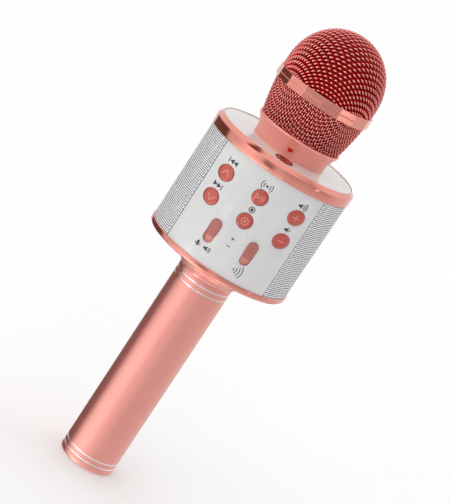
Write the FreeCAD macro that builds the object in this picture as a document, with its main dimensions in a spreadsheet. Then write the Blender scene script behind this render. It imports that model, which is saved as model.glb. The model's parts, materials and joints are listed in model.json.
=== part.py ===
import FreeCAD, Part
import math
import os
import re

import Sketcher
from FreeCAD import Rotation, Vector

# A hand-held toy microphone with a built-in loudspeaker drum: a battery handle, a round drum with
# buttons in front, speakers at its sides and sockets at its back, and a wire-mesh head that unscrews.
# The frame: +Z along the microphone, origin at the middle of the end cap's face, front towards -Y.

# Driving sizes in millimetres: name, number, what it is.
SIZES = [
    ("handle_radius", 14.4, "outside of the handle tube"),
    ("handle_wall", 1.5, "wall of the handle tube"),
    ("handle_length", 111.6, "end cap's face to the top of the tube"),
    ("cap_height", 3.2, "visible height of the end cap"),
    ("cap_plug", 6, "length of the cap's plug inside the tube"),
    ("cap_bevel", 0.8, "bevel round the end cap's face"),
    ("groove_width", 0.6, "bright-cut groove round the tube"),
    ("groove_depth", 0.3, "depth of that groove"),
    ("groove_inset", 3.2, "upper groove below the top of the tube"),
    ("groove_pitch", 3, "from one groove to the next"),
    ("collar_radius", 15.9, "handle collar above its flare"),
    ("collar_flare", 1.6, "height of the collar's flare"),
    ("collar_curve", 2.4, "radius of the flare"),
    ("collar_foot", 18.5, "handle collar where it meets the drum"),
    ("collar_height", 9.4, "handle collar above the tube"),
    ("collar_spigot", 8, "collar's spigot inside the tube"),
    ("lead_bore", 11.4, "passage for the leads from handle to drum"),
    ("seat_gap", 0.05, "radial play of parts that plug together"),
    ("slide_gap", 0.08, "radial play of parts that move in each other"),
    ("rim_radius", 37.5, "outside of the drum's two rims"),
    ("rim_low_height", 3.1, "height of the bottom rim"),
    ("rim_low_bevel", 0.9, "bevel under the bottom rim"),
    ("rim_high_height", 6.6, "height of the top rim"),
    ("rim_high_bevel", 2.1, "bevel above the top rim"),
    ("rim_wall", 2.2, "rim outside to the disc it holds"),
    ("rim_ledge", 1.8, "inward ledge that the disc rests on"),
    ("plate_thickness", 1.8, "top and bottom discs of the drum"),
    ("plate_drop", 0.2, "top disc below the rim's edge"),
    ("panel_height", 52.9, "between the two rims"),
    ("wall_step", 0.5, "wall between the rims, back from the rims"),
    ("panel_wall", 1.7, "front and rear panel"),
    ("grille_wall", 1, "perforated side grilles"),
    ("quarter", 90, "angle of each of the four wall pieces"),
    ("seam", 0.2, "angle left between wall pieces"),
    ("button_radius", 3.85, "round push button"),
    ("button_proud", 0.5, "buttons' faces above the panel"),
    ("button_column", 18.9, "from column to column of buttons"),
    ("row_low_share", 0.5274, "lower row of buttons, share of the wall's height"),
    ("row_high_share", 0.7713, "upper row of buttons, share of the wall's height"),
    ("button_flange", 4.6, "flange that keeps a button in"),
    ("button_flange_at", 25.8, "flange's front, from the drum's axis"),
    ("button_stem", 1.5, "button's stem"),
    ("button_travel", 0.8, "push of a button"),
    ("stop_gap", 0.06, "left between stem and switch when pushed"),
    ("flange_thickness", 1, "flange of a button"),
    ("slot_column", 9.9, "slider slot from the middle"),
    ("slot_share", 0.1767, "foot of the slider slots, share of the wall's height"),
    ("slot_width", 5.1, "slider slot"),
    ("slot_length", 12.4, "slider slot, end to end"),
    ("knob_width", 4.9, "slider knob"),
    ("knob_length", 8.3, "slider knob, end to end"),
    ("knob_proud", 1.2, "knobs' faces above the panel"),
    ("skirt_width", 7, "slider's skirt behind the panel"),
    ("skirt_cover", 0.8, "skirt past the slot's ends"),
    ("skirt_gap", 0.15, "between skirt and panel"),
    ("skirt_thickness", 0.8, "slider's skirt"),
    ("knob_root", 3.15, "inner end of a knob, behind its skirt's face"),
    ("lever_width", 2, "slider's lever into its track"),
    ("board_front", 20.2, "control board's front, from the axis"),
    ("board_thickness", 1.6, "both circuit boards"),
    ("board_width", 45, "control board"),
    ("board_low", 2.9, "control board above the bottom rim"),
    ("board_short", 8.9, "control board, shorter than the wall"),
    ("switch_size", 6, "push switches are square"),
    ("switch_depth", 2.5, "push switches, with plunger"),
    ("track_width", 6.4, "slide control on the board"),
    ("track_depth", 3, "slide control on the board"),
    ("track_past", 1.4, "slide control past the lever's reach"),
    ("boss_radius", 1.8, "screw boss inside a panel"),
    ("boss_high_x", 9.45, "upper bosses from the middle"),
    ("boss_low_x", 17, "lower bosses from the middle"),
    ("boss_low_up", 5.4, "lower bosses above the bottom rim"),
    ("screw_radius", 0.9, "self-tapping screws"),
    ("screw_head", 1.7, "their heads"),
    ("screw_head_height", 1.2, "their heads"),
    ("screw_length", 6, "their shanks"),
    ("port_board_back", 21.2, "port board's rear face, from the axis"),
    ("port_board_width", 32, "port board"),
    ("port_board_low", 2, "port board above the bottom rim"),
    ("port_board_short", 10.9, "port board, shorter than the wall"),
    ("port_boss_x", 12.5, "rear bosses from the middle"),
    ("port_boss_inset", 3.5, "rear bosses from the port board's edges"),
    ("port_inset", 0.6, "socket mouths below the panel's radius"),
    ("port_gap", 0.15, "round a socket in the rear panel"),
    ("usb_width", 13.1, "memory-stick socket"),
    ("usb_height", 5.7, "memory-stick socket"),
    ("usb_wall", 0.4, "its folded shell"),
    ("usb_share", 0.69, "its middle, share of the wall's height"),
    ("usb_tongue", 1.8, "thickness of its contact tongue"),
    ("card_width", 12.6, "memory-card slot"),
    ("card_height", 2.2, "memory-card slot"),
    ("card_wall", 0.5, "its shell"),
    ("card_share", 0.51, "its middle, share of the wall's height"),
    ("charge_width", 9, "charging socket"),
    ("charge_height", 3.3, "charging socket"),
    ("charge_wall", 0.4, "its shell"),
    ("charge_share", 0.35, "its middle, share of the wall's height"),
    ("jack_bore", 1.8, "3.5 mm audio socket"),
    ("jack_depth", 14, "its bore"),
    ("jack_nose", 3, "its round nose"),
    ("jack_block", 7, "its square body"),
    ("jack_share", 0.18, "its middle, share of the wall's height"),
    ("post_angle", 38, "chassis posts, from the sideways axis"),
    ("post_depth", 2.5, "chassis post, measured outwards"),
    ("post_width", 3.6, "chassis post"),
    ("hoop_gap", 0.2, "between chassis hoops and the rims' ledges"),
    ("hoop_width", 9.3, "chassis hoops, outside to inside"),
    ("hoop_height", 2, "chassis hoops"),
    ("hoop_drop", 5.1, "upper hoop's underside below the top disc"),
    ("speaker_radius", 18, "speaker frame's flange"),
    ("speaker_lead", 3.9, "flange's front, past the middle of the chassis posts"),
    ("speaker_flange", 1.5, "thickness of the flange"),
    ("speaker_neck", 16.2, "frame behind the flange"),
    ("speaker_waist", 10.5, "frame at the magnet"),
    ("speaker_depth", 10.5, "frame behind the flange"),
    ("speaker_sheet", 0.8, "pressed sheet of the frame"),
    ("magnet_radius", 9.5, "speaker magnet"),
    ("magnet_depth", 8, "speaker magnet"),
    ("cone_sheet", 0.5, "paper of the speaker cone"),
    ("cone_gap", 0.4, "between cone and frame"),
    ("ring_hold", 0.4, "chassis ring round the speaker, past the middle of a post"),
    ("power_radius", 4, "power button"),
    ("power_bezel_width", 0.7, "bezel round the power button"),
    ("power_bezel_rise", 0.55, "bezel above the top disc"),
    ("power_rise", 0.3, "power button above the top disc"),
    ("power_flange", 5, "flange under the top disc"),
    ("power_travel", 0.6, "push of the power button"),
    ("power_stub", 1.6, "power switch plunger"),
    ("power_switch_depth", 4.5, "power switch under its hoop"),
    ("neck_radius", 18.9, "neck collar at the drum"),
    ("neck_lip", 21.66, "neck collar's upper lip"),
    ("neck_lip_height", 0.9, "height of that lip"),
    ("neck_height", 10.2, "neck collar"),
    ("neck_curve", 14, "radius of the neck's flare"),
    ("insert_radius", 16.4, "neck insert that the head screws on"),
    ("insert_wall", 2, "its wall"),
    ("insert_flange", 19, "its flange under the top disc"),
    ("insert_rise", 6, "insert above the neck collar"),
    ("lens_radius", 1.2, "indicator lens"),
    ("lens_up", 4.3, "lens above the top disc"),
    ("lens_length", 2, "lens"),
    ("lens_seat", 17.3, "lens's back, from the axis"),
    ("holder_height", 8, "microphone capsule holder"),
    ("capsule_radius", 8, "microphone capsule"),
    ("capsule_height", 7.5, "microphone capsule"),
    ("capsule_seat", 6, "depth of the capsule's pocket"),
    ("head_gap", 0.1, "between neck lip and head"),
    ("mesh_thickness", 0.9, "woven grille, wire over wire"),
    ("cup_low_radius", 21.2, "lower grille at the neck"),
    ("cup_high_radius", 24.2, "lower grille at the band"),
    ("cup_height", 17.7, "lower grille"),
    ("cup_curve", 150, "radius of the lower grille's side"),
    ("band_radius", 25, "faceted band, over its corners"),
    ("band_inner", 22.2, "inside of the band"),
    ("band_height", 5.6, "faceted band"),
    ("band_line", 0.35, "groove round the band's middle"),
    ("band_line_depth", 0.35, "depth of that groove"),
    ("dome_radius", 24.3, "upper grille"),
    ("dome_skirt", 3.7, "straight part of the upper grille"),
    ("dome_rise", 26.2, "rounded part of the upper grille"),
    ("dome_fullness", 0.57, "roundness of its crown, 0.5523 for an ellipse"),
    ("collar_ring_height", 5.4, "screw ring in the head"),
    ("foam_gap", 0.3, "between foam and grille"),
    ("foam_thickness", 2.6, "foam liner"),
    ("foam_low", 8, "foam's open end above the head's foot"),
    ("battery_radius", 9.2, "round cell"),
    ("battery_length", 65, "round cell"),
    ("battery_up", 20, "cell above the end cap's face"),
    ("cradle_end", 2.5, "cradle past the cell, and its end walls"),
    ("contact_radius", 6, "battery contacts"),
    ("contact_thickness", 0.6, "battery contacts"),
    ("lead_radius", 0.7, "insulated leads"),
    ("lead_bend", 6, "bend of a lead, in lead radii"),
    ("lead_gap", 0.9, "from a lead to the wall or board it runs along"),
]
NAMES = {name for name, number, note in SIZES}

# Heights above the end cap's face and other sizes that follow from the driving ones.
LEVELS = {
    "tube_top": "handle_length",
    "tube_inner": "handle_radius - handle_wall",
    "plug_radius": "tube_inner - seat_gap",
    "drum_low": "tube_top + collar_height",
    "panel_radius": "rim_radius - wall_step",
    "disc_radius": "rim_radius - rim_wall - seat_gap",
    "ledge_radius": "rim_radius - rim_wall - rim_ledge",
    "low_disc_top": "drum_low + plate_thickness",
    "wall_low": "drum_low + rim_low_height",
    "wall_top": "wall_low + panel_height",
    "drum_top": "wall_top + rim_high_height",
    "plate_top": "drum_top - plate_drop",
    "plate_under": "plate_top - plate_thickness",
    "hoop_low": "plate_under - hoop_drop",
    "hoop_top": "hoop_low + hoop_height",
    "hoop_outer": "ledge_radius - hoop_gap",
    "hoop_inner": "hoop_outer - hoop_width",
    "post_inner": "hoop_outer - hoop_gap - post_depth",
    "post_middle": "post_inner + post_depth / 2",
    "button_face": "panel_radius + button_proud",
    "row_low": "wall_low + row_low_share * panel_height",
    "row_high": "wall_low + row_high_share * panel_height",
    "slot_foot": "wall_low + slot_share * panel_height",
    "slot_head": "slot_foot + slot_length",
    "slot_play": "(slot_width - knob_width) / 2",
    "knob_face": "panel_radius + knob_proud",
    "knob_back": "skirt_radius - knob_root",
    "knob_head": "slot_head - slot_play",
    "knob_foot": "knob_head - knob_length",
    "knob_travel": "slot_length - knob_length - 2 * slot_play",
    "skirt_radius": "panel_radius - panel_wall - skirt_gap",
    "board_back": "board_front - board_thickness",
    "board_foot": "wall_low + board_low",
    "board_head": "board_foot + panel_height - board_short",
    "track_front": "board_front + track_depth",
    "track_length": "slot_length + 2 * (knob_travel + track_past)",
    "switch_front": "board_front + switch_depth",
    "stem_end": "switch_front + button_travel + stop_gap",
    "port_board_front": "port_board_back - board_thickness",
    "port_board_foot": "wall_low + port_board_low",
    "port_board_head": "port_board_foot + panel_height - port_board_short",
    "port_mouth": "panel_radius - port_inset",
    "usb_level": "wall_low + usb_share * panel_height",
    "card_level": "wall_low + card_share * panel_height",
    "charge_level": "wall_low + charge_share * panel_height",
    "jack_level": "wall_low + jack_share * panel_height",
    "speaker_level": "wall_low + panel_height / 2",
    "speaker_front": "post_middle * cos(post_angle) + speaker_lead",
    "ring_radius": "post_middle * sin(post_angle) + ring_hold",
    "speaker_back": "speaker_front - speaker_flange",
    "speaker_end": "speaker_back - speaker_depth",
    "power_at": "(disc_radius + neck_radius) / 2",
    "power_hole": "power_radius + slide_gap",
    "power_flange_top": "plate_under - 0.6",
    "neck_top": "plate_top + neck_height",
    "insert_top": "neck_top + insert_rise",
    "insert_bore": "insert_radius - insert_wall",
    "head_low": "neck_top + head_gap",
    "band_low": "head_low + cup_height",
    "band_top": "band_low + band_height",
    "crown_low": "band_top + dome_skirt",
    "head_inner": "cup_low_radius - mesh_thickness - seat_gap",
    "cell_top": "battery_up + battery_length",
    "cradle_inner": "battery_radius + seat_gap",
    "cradle_outer": "tube_inner - seat_gap",
}
WORD = re.compile(r"[a-z_][a-z_0-9]*")

doc = FreeCAD.newDocument("toy_microphone")
sheet = doc.addObject("Spreadsheet::Sheet", "sizes")
for row, (name, number, note) in enumerate(SIZES, 1):
    sheet.set(f"A{row}", note)
    sheet.set(f"B{row}", str(number))
    sheet.setAlias(f"B{row}", name)
doc.recompute()

finished = []


def formula(text):
    """Turn the words of a formula into cells of the sheet, and levels into their own formulas."""
    def swap(match):
        word = match.group()
        if word in LEVELS:
            return "(" + formula(LEVELS[word]) + ")"
        return "sizes." + word if word in NAMES else word
    return WORD.sub(swap, str(text))


def measure(text):
    """Work a formula out as a plain number, for shapes that have no property to bind."""
    return float(sheet.evalExpression(formula(text)))


def add(kind, label, **formulas):
    """Add one object and bind its properties to the sheet."""
    part = doc.addObject(kind, label or "piece")
    for name, text in formulas.items():
        part.setExpression(name, formula(text))
    return part


def place(part, x, y, z):
    """Bind where an object stands."""
    for letter, text in zip("xyz", (x, y, z)):
        part.setExpression("Placement.Base." + letter, formula(text))
    return part


TURNS = {"x": Rotation(Vector(0, 1, 0), 90), "y": Rotation(Vector(1, 0, 0), -90), "z": Rotation()}


def rod(radius, start, end, x="0", y="0", z="0", along="z", label=None):
    """Make a round bar from start to end along one axis."""
    part = add("Part::Cylinder", label, Radius=radius, Height=f"({end}) - ({start})")
    part.Placement.Rotation = TURNS[along]
    spot = {"x": x, "y": y, "z": z}
    spot[along] = start
    return place(part, spot["x"], spot["y"], spot["z"])


def taper(radius, far_radius, start, end, z, label=None):
    """Make a cone along X from start to end, at height z."""
    part = add("Part::Cone", label, Radius1=radius, Radius2=far_radius, Height=f"({end}) - ({start})")
    part.Placement.Rotation = TURNS["x"]
    return place(part, start, "0", z)


def block(width, depth, height, label=None):
    """Make a box between three pairs of limits: x, y and z."""
    part = add("Part::Box", label, Length=f"({width[1]}) - ({width[0]})",
               Width=f"({depth[1]}) - ({depth[0]})", Height=f"({height[1]}) - ({height[0]})")
    return place(part, width[0], depth[0], height[0])


def centred(middle, size):
    """Give the two limits of a size about its middle."""
    return f"{middle} - ({size}) / 2", f"{middle} + ({size}) / 2"


def join(*pieces, label=None):
    """Fuse pieces, or keep them as one group where they stand apart."""
    part = doc.addObject("Part::MultiFuse", label or "joined")
    part.Shapes = list(pieces)
    return part


def cut(base, *tools, label=None):
    """Take the tools away from the base."""
    part = doc.addObject("Part::Cut", label or "cut")
    part.Base = base
    part.Tool = tools[0] if len(tools) == 1 else join(*tools)
    return part


def common(first, second, label=None):
    """Keep what two pieces share."""
    part = doc.addObject("Part::Common", label or "common")
    part.Base = first
    part.Tool = second
    return part


def tube(outer, inner, low, high, label=None):
    """Make an upright pipe."""
    return cut(rod(outer, low, high), rod(inner, low, high), label=label)


def quarter_wall(wall, middle):
    """Make one of the four curved wall pieces, its middle at an angle from +X."""
    sector = add("Part::Cylinder", None, Radius="panel_radius", Height="panel_height",
                 Angle="quarter - seam")
    place(sector, "0", "0", "wall_low")
    sector.Placement.Rotation = Rotation(Vector(0, 0, 1), 0)
    sector.setExpression("Placement.Rotation.Angle", formula(f"{middle} - (quarter - seam) / 2"))
    return cut(sector, rod(f"panel_radius - {wall}", "wall_low", "wall_top"))


def capsule_block(x, size, low, high, front, back):
    """Make an upright block with round ends, as seen from the front."""
    half = f"({size}) / 2"
    body = block(centred(x, size), (front, back), (f"{low} + {half}", f"{high} - {half}"))
    ends = [rod(half, front, back, x=x, z=level, along="y")
            for level in (f"{low} + {half}", f"{high} - {half}")]
    return join(body, *ends)


def arc(start, end, radius, side):
    """Make the arc from start to end whose centre lies on the given side of the way there."""
    chord = end - start
    across = Vector(-chord.y, chord.x, 0).normalize()
    rise = math.sqrt(radius ** 2 - (chord.Length / 2) ** 2)
    centre = (start + end) * 0.5 + across * (rise if side == "left" else -rise)
    angles = [math.atan2(point.y - centre.y, point.x - centre.x) for point in (start, end)]
    if side == "right":
        angles.reverse()
    return Part.ArcOfCircle(Part.Circle(centre, Vector(0, 0, 1), radius), *angles)


def turned(label, outline):
    """Turn a closed outline about Z, as a body with one sketch.

    A point is (radius, height), or (radius, height, side, curve) where an arc leads on from it.
    """
    body = doc.addObject("PartDesign::Body", label)
    plane = [item for item in body.Origin.OriginFeatures if item.Role == "XZ_Plane"][0]
    sketch = body.newObject("Sketcher::SketchObject", label + "_outline")
    sketch.AttachmentSupport = [(plane, "")]
    sketch.MapMode = "FlatFace"
    points = [Vector(measure(point[0]), measure(point[1]), 0) for point in outline]
    ends = []
    for index, point in enumerate(outline):
        start, end = points[index], points[(index + 1) % len(points)]
        if len(point) == 2:
            sketch.addGeometry(Part.LineSegment(start, end))
        else:
            sketch.addGeometry(arc(start, end, measure(point[3]), point[2]))
            bend = sketch.addConstraint(Sketcher.Constraint("Radius", index, measure(point[3])))
            sketch.setExpression(f"Constraints[{bend}]", formula(point[3]))
        ends.append((2, 1) if len(point) > 2 and point[2] == "right" else (1, 2))
    for index, point in enumerate(outline):
        before = index - 1 if index else len(outline) - 1
        sketch.addConstraint(Sketcher.Constraint("Coincident", before, ends[before][1],
                                                 index, ends[index][0]))
        for way, text, value, axis in (("DistanceX", point[0], points[index].x, -2),
                                       ("DistanceY", point[1], points[index].y, -1)):
            if value == 0:
                sketch.addConstraint(Sketcher.Constraint("PointOnObject", index,
                                                         ends[index][0], axis))
                continue
            size = sketch.addConstraint(Sketcher.Constraint(way, -1, 1, index,
                                                            ends[index][0], value))
            sketch.setExpression(f"Constraints[{size}]", formula(text))
    turn = body.newObject("PartDesign::Revolution", label + "_turn")
    turn.Profile = sketch
    turn.ReferenceAxis = (sketch, ["V_Axis"])
    turn.Angle = 360
    sketch.Visibility = False
    return body


def around(count, radius, first=0):
    """Give the places of a ring of holes as pairs of formulas."""
    angles = [first + step * 360 / count for step in range(count)]
    return [(f"({radius}) * cos({angle})", f"({radius}) * sin({angle})") for angle in angles]


def sub_part(part, label):
    """Name a finished sub-part."""
    part.Label = label
    finished.append(part)
    return part


HANDLE_SCREWS = around(4, "(lead_bore + collar_foot) / 2", 45)
BASE_SCREWS = around(4, "(hoop_inner + hoop_outer) / 2 + 1", 0)
FRONT_BOSSES = [(f"{side} * {x}", level)
                for x, level in (("boss_high_x", "(row_low + row_high) / 2"),
                                 ("boss_low_x", "wall_low + boss_low_up"))
                for side in (-1, 1)]
REAR_BOSSES = [(f"{side} * port_boss_x", level)
               for level in ("port_board_foot + port_boss_inset", "port_board_head - port_boss_inset")
               for side in (-1, 1)]
BUTTONS = [
    ("previous_button", -1, "row_high"), ("play_button", 0, "row_high"),
    ("volume_up_button", 1, "row_high"), ("next_button", -1, "row_low"),
    ("record_button", 0, "row_low"), ("volume_down_button", 1, "row_low"),
]
SLIDERS = [("mic_volume_slider", -1), ("echo_slider", 1)]
SPEAKERS = [("left", -1), ("right", 1)]


def make_handle():
    """The tube with its bright-cut grooves, the end cap and the polished collar under the drum."""
    grooves = [tube("handle_radius + 1", "handle_radius - groove_depth", low, f"{low} + groove_width")
               for low in ("cap_height", "cap_height + groove_pitch", "tube_top - groove_inset",
                           "tube_top - groove_inset - groove_pitch")]
    sub_part(cut(tube("handle_radius", "tube_inner", "cap_height", "tube_top"), *grooves),
             "handle_tube")
    cap = turned("end_cap_body", [
        ("0", "0"), ("handle_radius - cap_bevel", "0"), ("handle_radius", "cap_bevel"),
        ("handle_radius", "cap_height"), ("plug_radius", "cap_height"),
        ("plug_radius", "cap_height + cap_plug"), ("0", "cap_height + cap_plug")])
    sub_part(cap, "end_cap")
    collar = turned("collar_body", [
        ("lead_bore", "tube_top - collar_spigot"), ("plug_radius", "tube_top - collar_spigot"),
        ("plug_radius", "tube_top"), ("handle_radius", "tube_top", "right", "collar_curve"),
        ("collar_radius", "tube_top + collar_flare"), ("collar_foot", "drum_low"),
        ("lead_bore", "drum_low")])
    pilots = [rod("screw_radius + seat_gap", "drum_low - screw_length", "drum_low", x, y)
              for x, y in HANDLE_SCREWS]
    sub_part(cut(collar, *pilots), "handle_collar")


def make_battery():
    """The round cell in its open cradle, and the contacts at its ends."""
    sub_part(rod("battery_radius", "battery_up", "cell_top"), "battery")
    low, high = "battery_up - cradle_end", "cell_top + cradle_end"
    opening = block(("-cradle_outer", "cradle_outer"), ("-cradle_outer", "-battery_radius * 0.45"),
                    (low, high))
    shell = cut(tube("cradle_outer", "cradle_inner", low, high), opening)
    walls = [cut(rod("cradle_outer", start, end), opening)
             for start, end in ((f"{low} - cradle_end", low), (high, f"{high} + cradle_end"))]
    sub_part(join(shell, *walls), "battery_cradle")
    contacts = [rod("contact_radius", low, f"{low} + contact_thickness"),
                rod("contact_radius / 2", f"{low} + contact_thickness", "battery_up"),
                rod("contact_radius", f"{high} - contact_thickness", high),
                rod("contact_radius / 2", "cell_top", f"{high} - contact_thickness")]
    sub_part(join(*contacts), "battery_contacts")


def make_discs_and_rims():
    """The two discs that close the drum, each held by a bright rim with a ledge."""
    shanks = [rod("screw_radius + 0.1", "drum_low", "low_disc_top", x, y)
              for x, y in HANDLE_SCREWS + BASE_SCREWS]
    sinks = [rod("screw_head + 0.1", "drum_low", "drum_low + screw_head_height", x, y)
             for x, y in BASE_SCREWS]
    sub_part(cut(tube("disc_radius", "lead_bore", "drum_low", "low_disc_top"), *shanks, *sinks),
             "bottom_plate")
    disc = tube("disc_radius", "insert_radius + seat_gap", "plate_under", "plate_top")
    hole = rod("power_hole", "plate_under", "plate_top", y="-power_at")
    sub_part(cut(disc, hole), "top_plate")
    hold, ledge = "rim_radius - rim_wall", "ledge_radius"
    sub_part(turned("bottom_rim_body", [
        (hold, "drum_low"), ("rim_radius - rim_low_bevel", "drum_low"),
        ("rim_radius", "drum_low + rim_low_bevel"), ("rim_radius", "wall_low"),
        (ledge, "wall_low"), (ledge, "low_disc_top"), (hold, "low_disc_top")]), "bottom_rim")
    sub_part(turned("top_rim_body", [
        (ledge, "wall_top"), ("rim_radius", "wall_top"),
        ("rim_radius", "drum_top - rim_high_bevel"), ("rim_radius - rim_high_bevel", "drum_top"),
        (hold, "drum_top"), (hold, "plate_under"), (ledge, "plate_under")]), "top_rim")


def boss(x, z, sign, seat):
    """A screw boss from the middle of a panel's wall back to its board, pilot hole and all."""
    wall = f"sqrt((panel_radius - panel_wall / 2)^2 - ({x})^2)"
    limits = (f"-({wall})", f"-({seat})") if sign < 0 else (seat, wall)
    pilot = (f"-({seat}) - screw_length", f"-({seat})") if sign < 0 else (seat, f"{seat} + screw_length")
    return (rod("boss_radius", *limits, x=x, z=z, along="y"),
            rod("screw_radius + seat_gap", *pilot, x=x, z=z, along="y"))


def make_walls():
    """Front and rear panels with their holes, and the two perforated side grilles."""
    bosses = [boss(x, z, -1, "board_front") for x, z in FRONT_BOSSES]
    holes = [rod("button_radius + slide_gap", "-panel_radius - 1", "-button_flange_at",
                 x=f"{column} * button_column", z=level, along="y")
             for name, column, level in BUTTONS]
    slots = [capsule_block(f"{side} * slot_column", "slot_width", "slot_foot", "slot_head",
                           "-panel_radius - 1", "-knob_back")
             for name, side in SLIDERS]
    shell = join(quarter_wall("panel_wall", "270"), *[body for body, pilot in bosses])
    sub_part(cut(shell, *holes, *slots, *[pilot for body, pilot in bosses]), "front_panel")
    bosses = [boss(x, z, 1, "port_board_back") for x, z in REAR_BOSSES]
    reach = ("port_board_back", "panel_radius + 1")
    ports = [block(centred("0", f"{kind}_width + 2 * port_gap"), reach,
                   centred(f"{kind}_level", f"{kind}_height + 2 * port_gap"))
             for kind in ("usb", "card", "charge")]
    ports.append(rod("jack_nose + port_gap", *reach, z="jack_level", along="y"))
    shell = join(quarter_wall("panel_wall", "90"), *[body for body, pilot in bosses])
    sub_part(cut(shell, *ports, *[pilot for body, pilot in bosses]), "rear_panel")
    sub_part(quarter_wall("grille_wall", "180"), "left_grille")
    sub_part(quarter_wall("grille_wall", "0"), "right_grille")


def post(angle):
    """One upright post of the chassis, standing at an angle from +X."""
    part = add("Part::Box", None, Length="post_depth", Width="post_width",
               Height="plate_under - low_disc_top")
    turn = f"({angle})"
    place(part, f"post_inner * cos({turn}) + post_width / 2 * sin({turn})",
          f"post_inner * sin({turn}) - post_width / 2 * cos({turn})", "low_disc_top")
    part.Placement.Rotation = Rotation(Vector(0, 0, 1), 0)
    part.setExpression("Placement.Rotation.Angle", formula(turn))
    return part


def make_chassis():
    """The inner frame: two hoops on four posts, and a ring behind each speaker."""
    hoops = [tube("hoop_outer", "hoop_inner", "low_disc_top", "low_disc_top + hoop_height"),
             tube("hoop_outer", "hoop_inner", "hoop_low", "hoop_top")]
    posts = [post(angle) for angle in ("post_angle", "180 - post_angle", "180 + post_angle",
                                       "360 - post_angle")]
    rings = []
    for name, side in SPEAKERS:
        far, near = "speaker_back", "speaker_back - 1.5"
        limits = (near, far) if side > 0 else (f"-({far})", f"-({near})")
        rings.append(cut(rod("ring_radius", *limits, z="speaker_level", along="x"),
                         rod("speaker_neck + 0.1", *limits, z="speaker_level", along="x")))
    frame = join(*hoops, *posts, *rings)
    pilots = [rod("screw_radius + seat_gap", "low_disc_top", "low_disc_top + hoop_height", x, y)
              for x, y in BASE_SCREWS]
    stub = rod("power_stub + 0.2", "hoop_low", "hoop_top", y="-power_at")
    sub_part(cut(frame, stub, *pilots), "chassis")


def make_speakers():
    """Two small speakers, back to back: pressed frame, paper cone and magnet."""
    for name, side in SPEAKERS:
        level = "speaker_level"

        def limits(far, near):
            return (near, far) if side > 0 else (f"-({far})", f"-({near})")

        def funnel(wide, narrow, far, near):
            start, end = limits(far, near)
            radii = (narrow, wide) if side > 0 else (wide, narrow)
            return taper(*radii, start, end, level)

        flange = cut(rod("speaker_radius", *limits("speaker_front", "speaker_back"), z=level, along="x"),
                     rod("speaker_neck - speaker_sheet", *limits("speaker_front", "speaker_back"),
                         z=level, along="x"))
        shell = cut(funnel("speaker_neck", "speaker_waist", "speaker_back", "speaker_end"),
                    funnel("speaker_neck - speaker_sheet", "speaker_waist - speaker_sheet",
                           "speaker_back", "speaker_end"))
        sub_part(join(flange, shell), name + "_speaker_frame")
        inset = "speaker_sheet + cone_gap"
        skin = f"{inset} + cone_sheet"
        paper = cut(funnel(f"speaker_neck - ({inset})", f"speaker_waist - ({inset})",
                           "speaker_back", "speaker_end"),
                    funnel(f"speaker_neck - ({skin})", f"speaker_waist - ({skin})",
                           "speaker_back", "speaker_end"))
        sub_part(paper, name + "_speaker_cone")
        magnet = rod("magnet_radius", *limits("speaker_end", "speaker_end - magnet_depth"),
                     z=level, along="x")
        sub_part(magnet, name + "_speaker_magnet")


def make_control_board():
    """The board behind the front panel, with a switch behind each button and two slide controls."""
    board = block(centred("0", "board_width"), ("-board_front", "-board_back"),
                  ("board_foot", "board_head"))
    holes = [rod("screw_radius + 0.1", "-board_front", "-board_back", x=x, z=z, along="y")
             for x, z in FRONT_BOSSES]
    sub_part(cut(board, *holes), "control_board")
    switches = [block(centred(f"{column} * button_column", "switch_size"),
                      ("-switch_front", "-board_front"), centred(level, "switch_size"))
                for name, column, level in BUTTONS]
    sub_part(join(*switches), "push_switches")
    middle = "(slot_foot + slot_head) / 2"
    tracks = [block(centred(f"{side} * slot_column", "track_width"), ("-track_front", "-board_front"),
                    centred(middle, "track_length"))
              for name, side in SLIDERS]
    sub_part(join(*tracks), "slide_controls")


def make_buttons():
    """Six push buttons: a cap whose face follows the drum, a flange and a stem."""
    for name, column, level in BUTTONS:
        spot = {"x": f"{column} * button_column", "z": level, "along": "y"}
        cap = common(rod("button_radius", "-button_face - 1", "-button_flange_at", **spot),
                     rod("button_face", "wall_low", "wall_top"))
        back = "-button_flange_at + flange_thickness"
        flange = rod("button_flange", "-button_flange_at", back, **spot)
        stem = rod("button_stem", back, "-stem_end", **spot)
        sub_part(join(cap, flange, stem), name)


def make_sliders():
    """Two sliders: a knob in the slot, a skirt that hides the slot, and a lever to the control."""
    for name, side in SLIDERS:
        column = f"{side} * slot_column"
        knob = common(capsule_block(column, "knob_width", "knob_foot", "knob_head",
                                    "-knob_face - 1", "-knob_back"),
                      rod("knob_face", "wall_low", "wall_top"))
        ends = ("slot_foot - skirt_cover", "slot_head + knob_travel + skirt_cover")
        skirt = common(block(centred(column, "skirt_width"), ("-panel_radius", "-board_front"), ends),
                       tube("skirt_radius", "skirt_radius - skirt_thickness", *ends))
        lever = block(centred(column, "lever_width"), ("-knob_back", "-track_front - seat_gap"),
                      centred("(knob_foot + knob_head) / 2", "lever_width"))
        sub_part(join(knob, skirt, lever), name)


def make_power_button():
    """The power button in the top disc, its bezel, and the switch under the upper hoop."""
    where = {"y": "-power_at"}
    cap = rod("power_radius", "power_flange_top", "plate_top + power_rise", **where)
    flange_low = "power_flange_top - flange_thickness"
    flange = rod("power_flange", flange_low, "power_flange_top", **where)
    sub_part(join(cap, flange), "power_button")
    bezel_radius = "power_hole + power_bezel_width"
    sub_part(cut(rod(bezel_radius, "plate_top", "plate_top + power_bezel_rise", **where),
                 rod("power_hole", "plate_top", "plate_top + power_bezel_rise", **where)),
             "power_bezel")
    plunger_top = f"{flange_low} - power_travel - stop_gap"
    plunger = rod("power_stub", "hoop_low", plunger_top, **where)
    housing = block(centred("0", "switch_size"), centred("-power_at", "switch_size"),
                    ("hoop_low - power_switch_depth", "hoop_low"))
    sub_part(join(plunger, housing), "power_switch")


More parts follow.
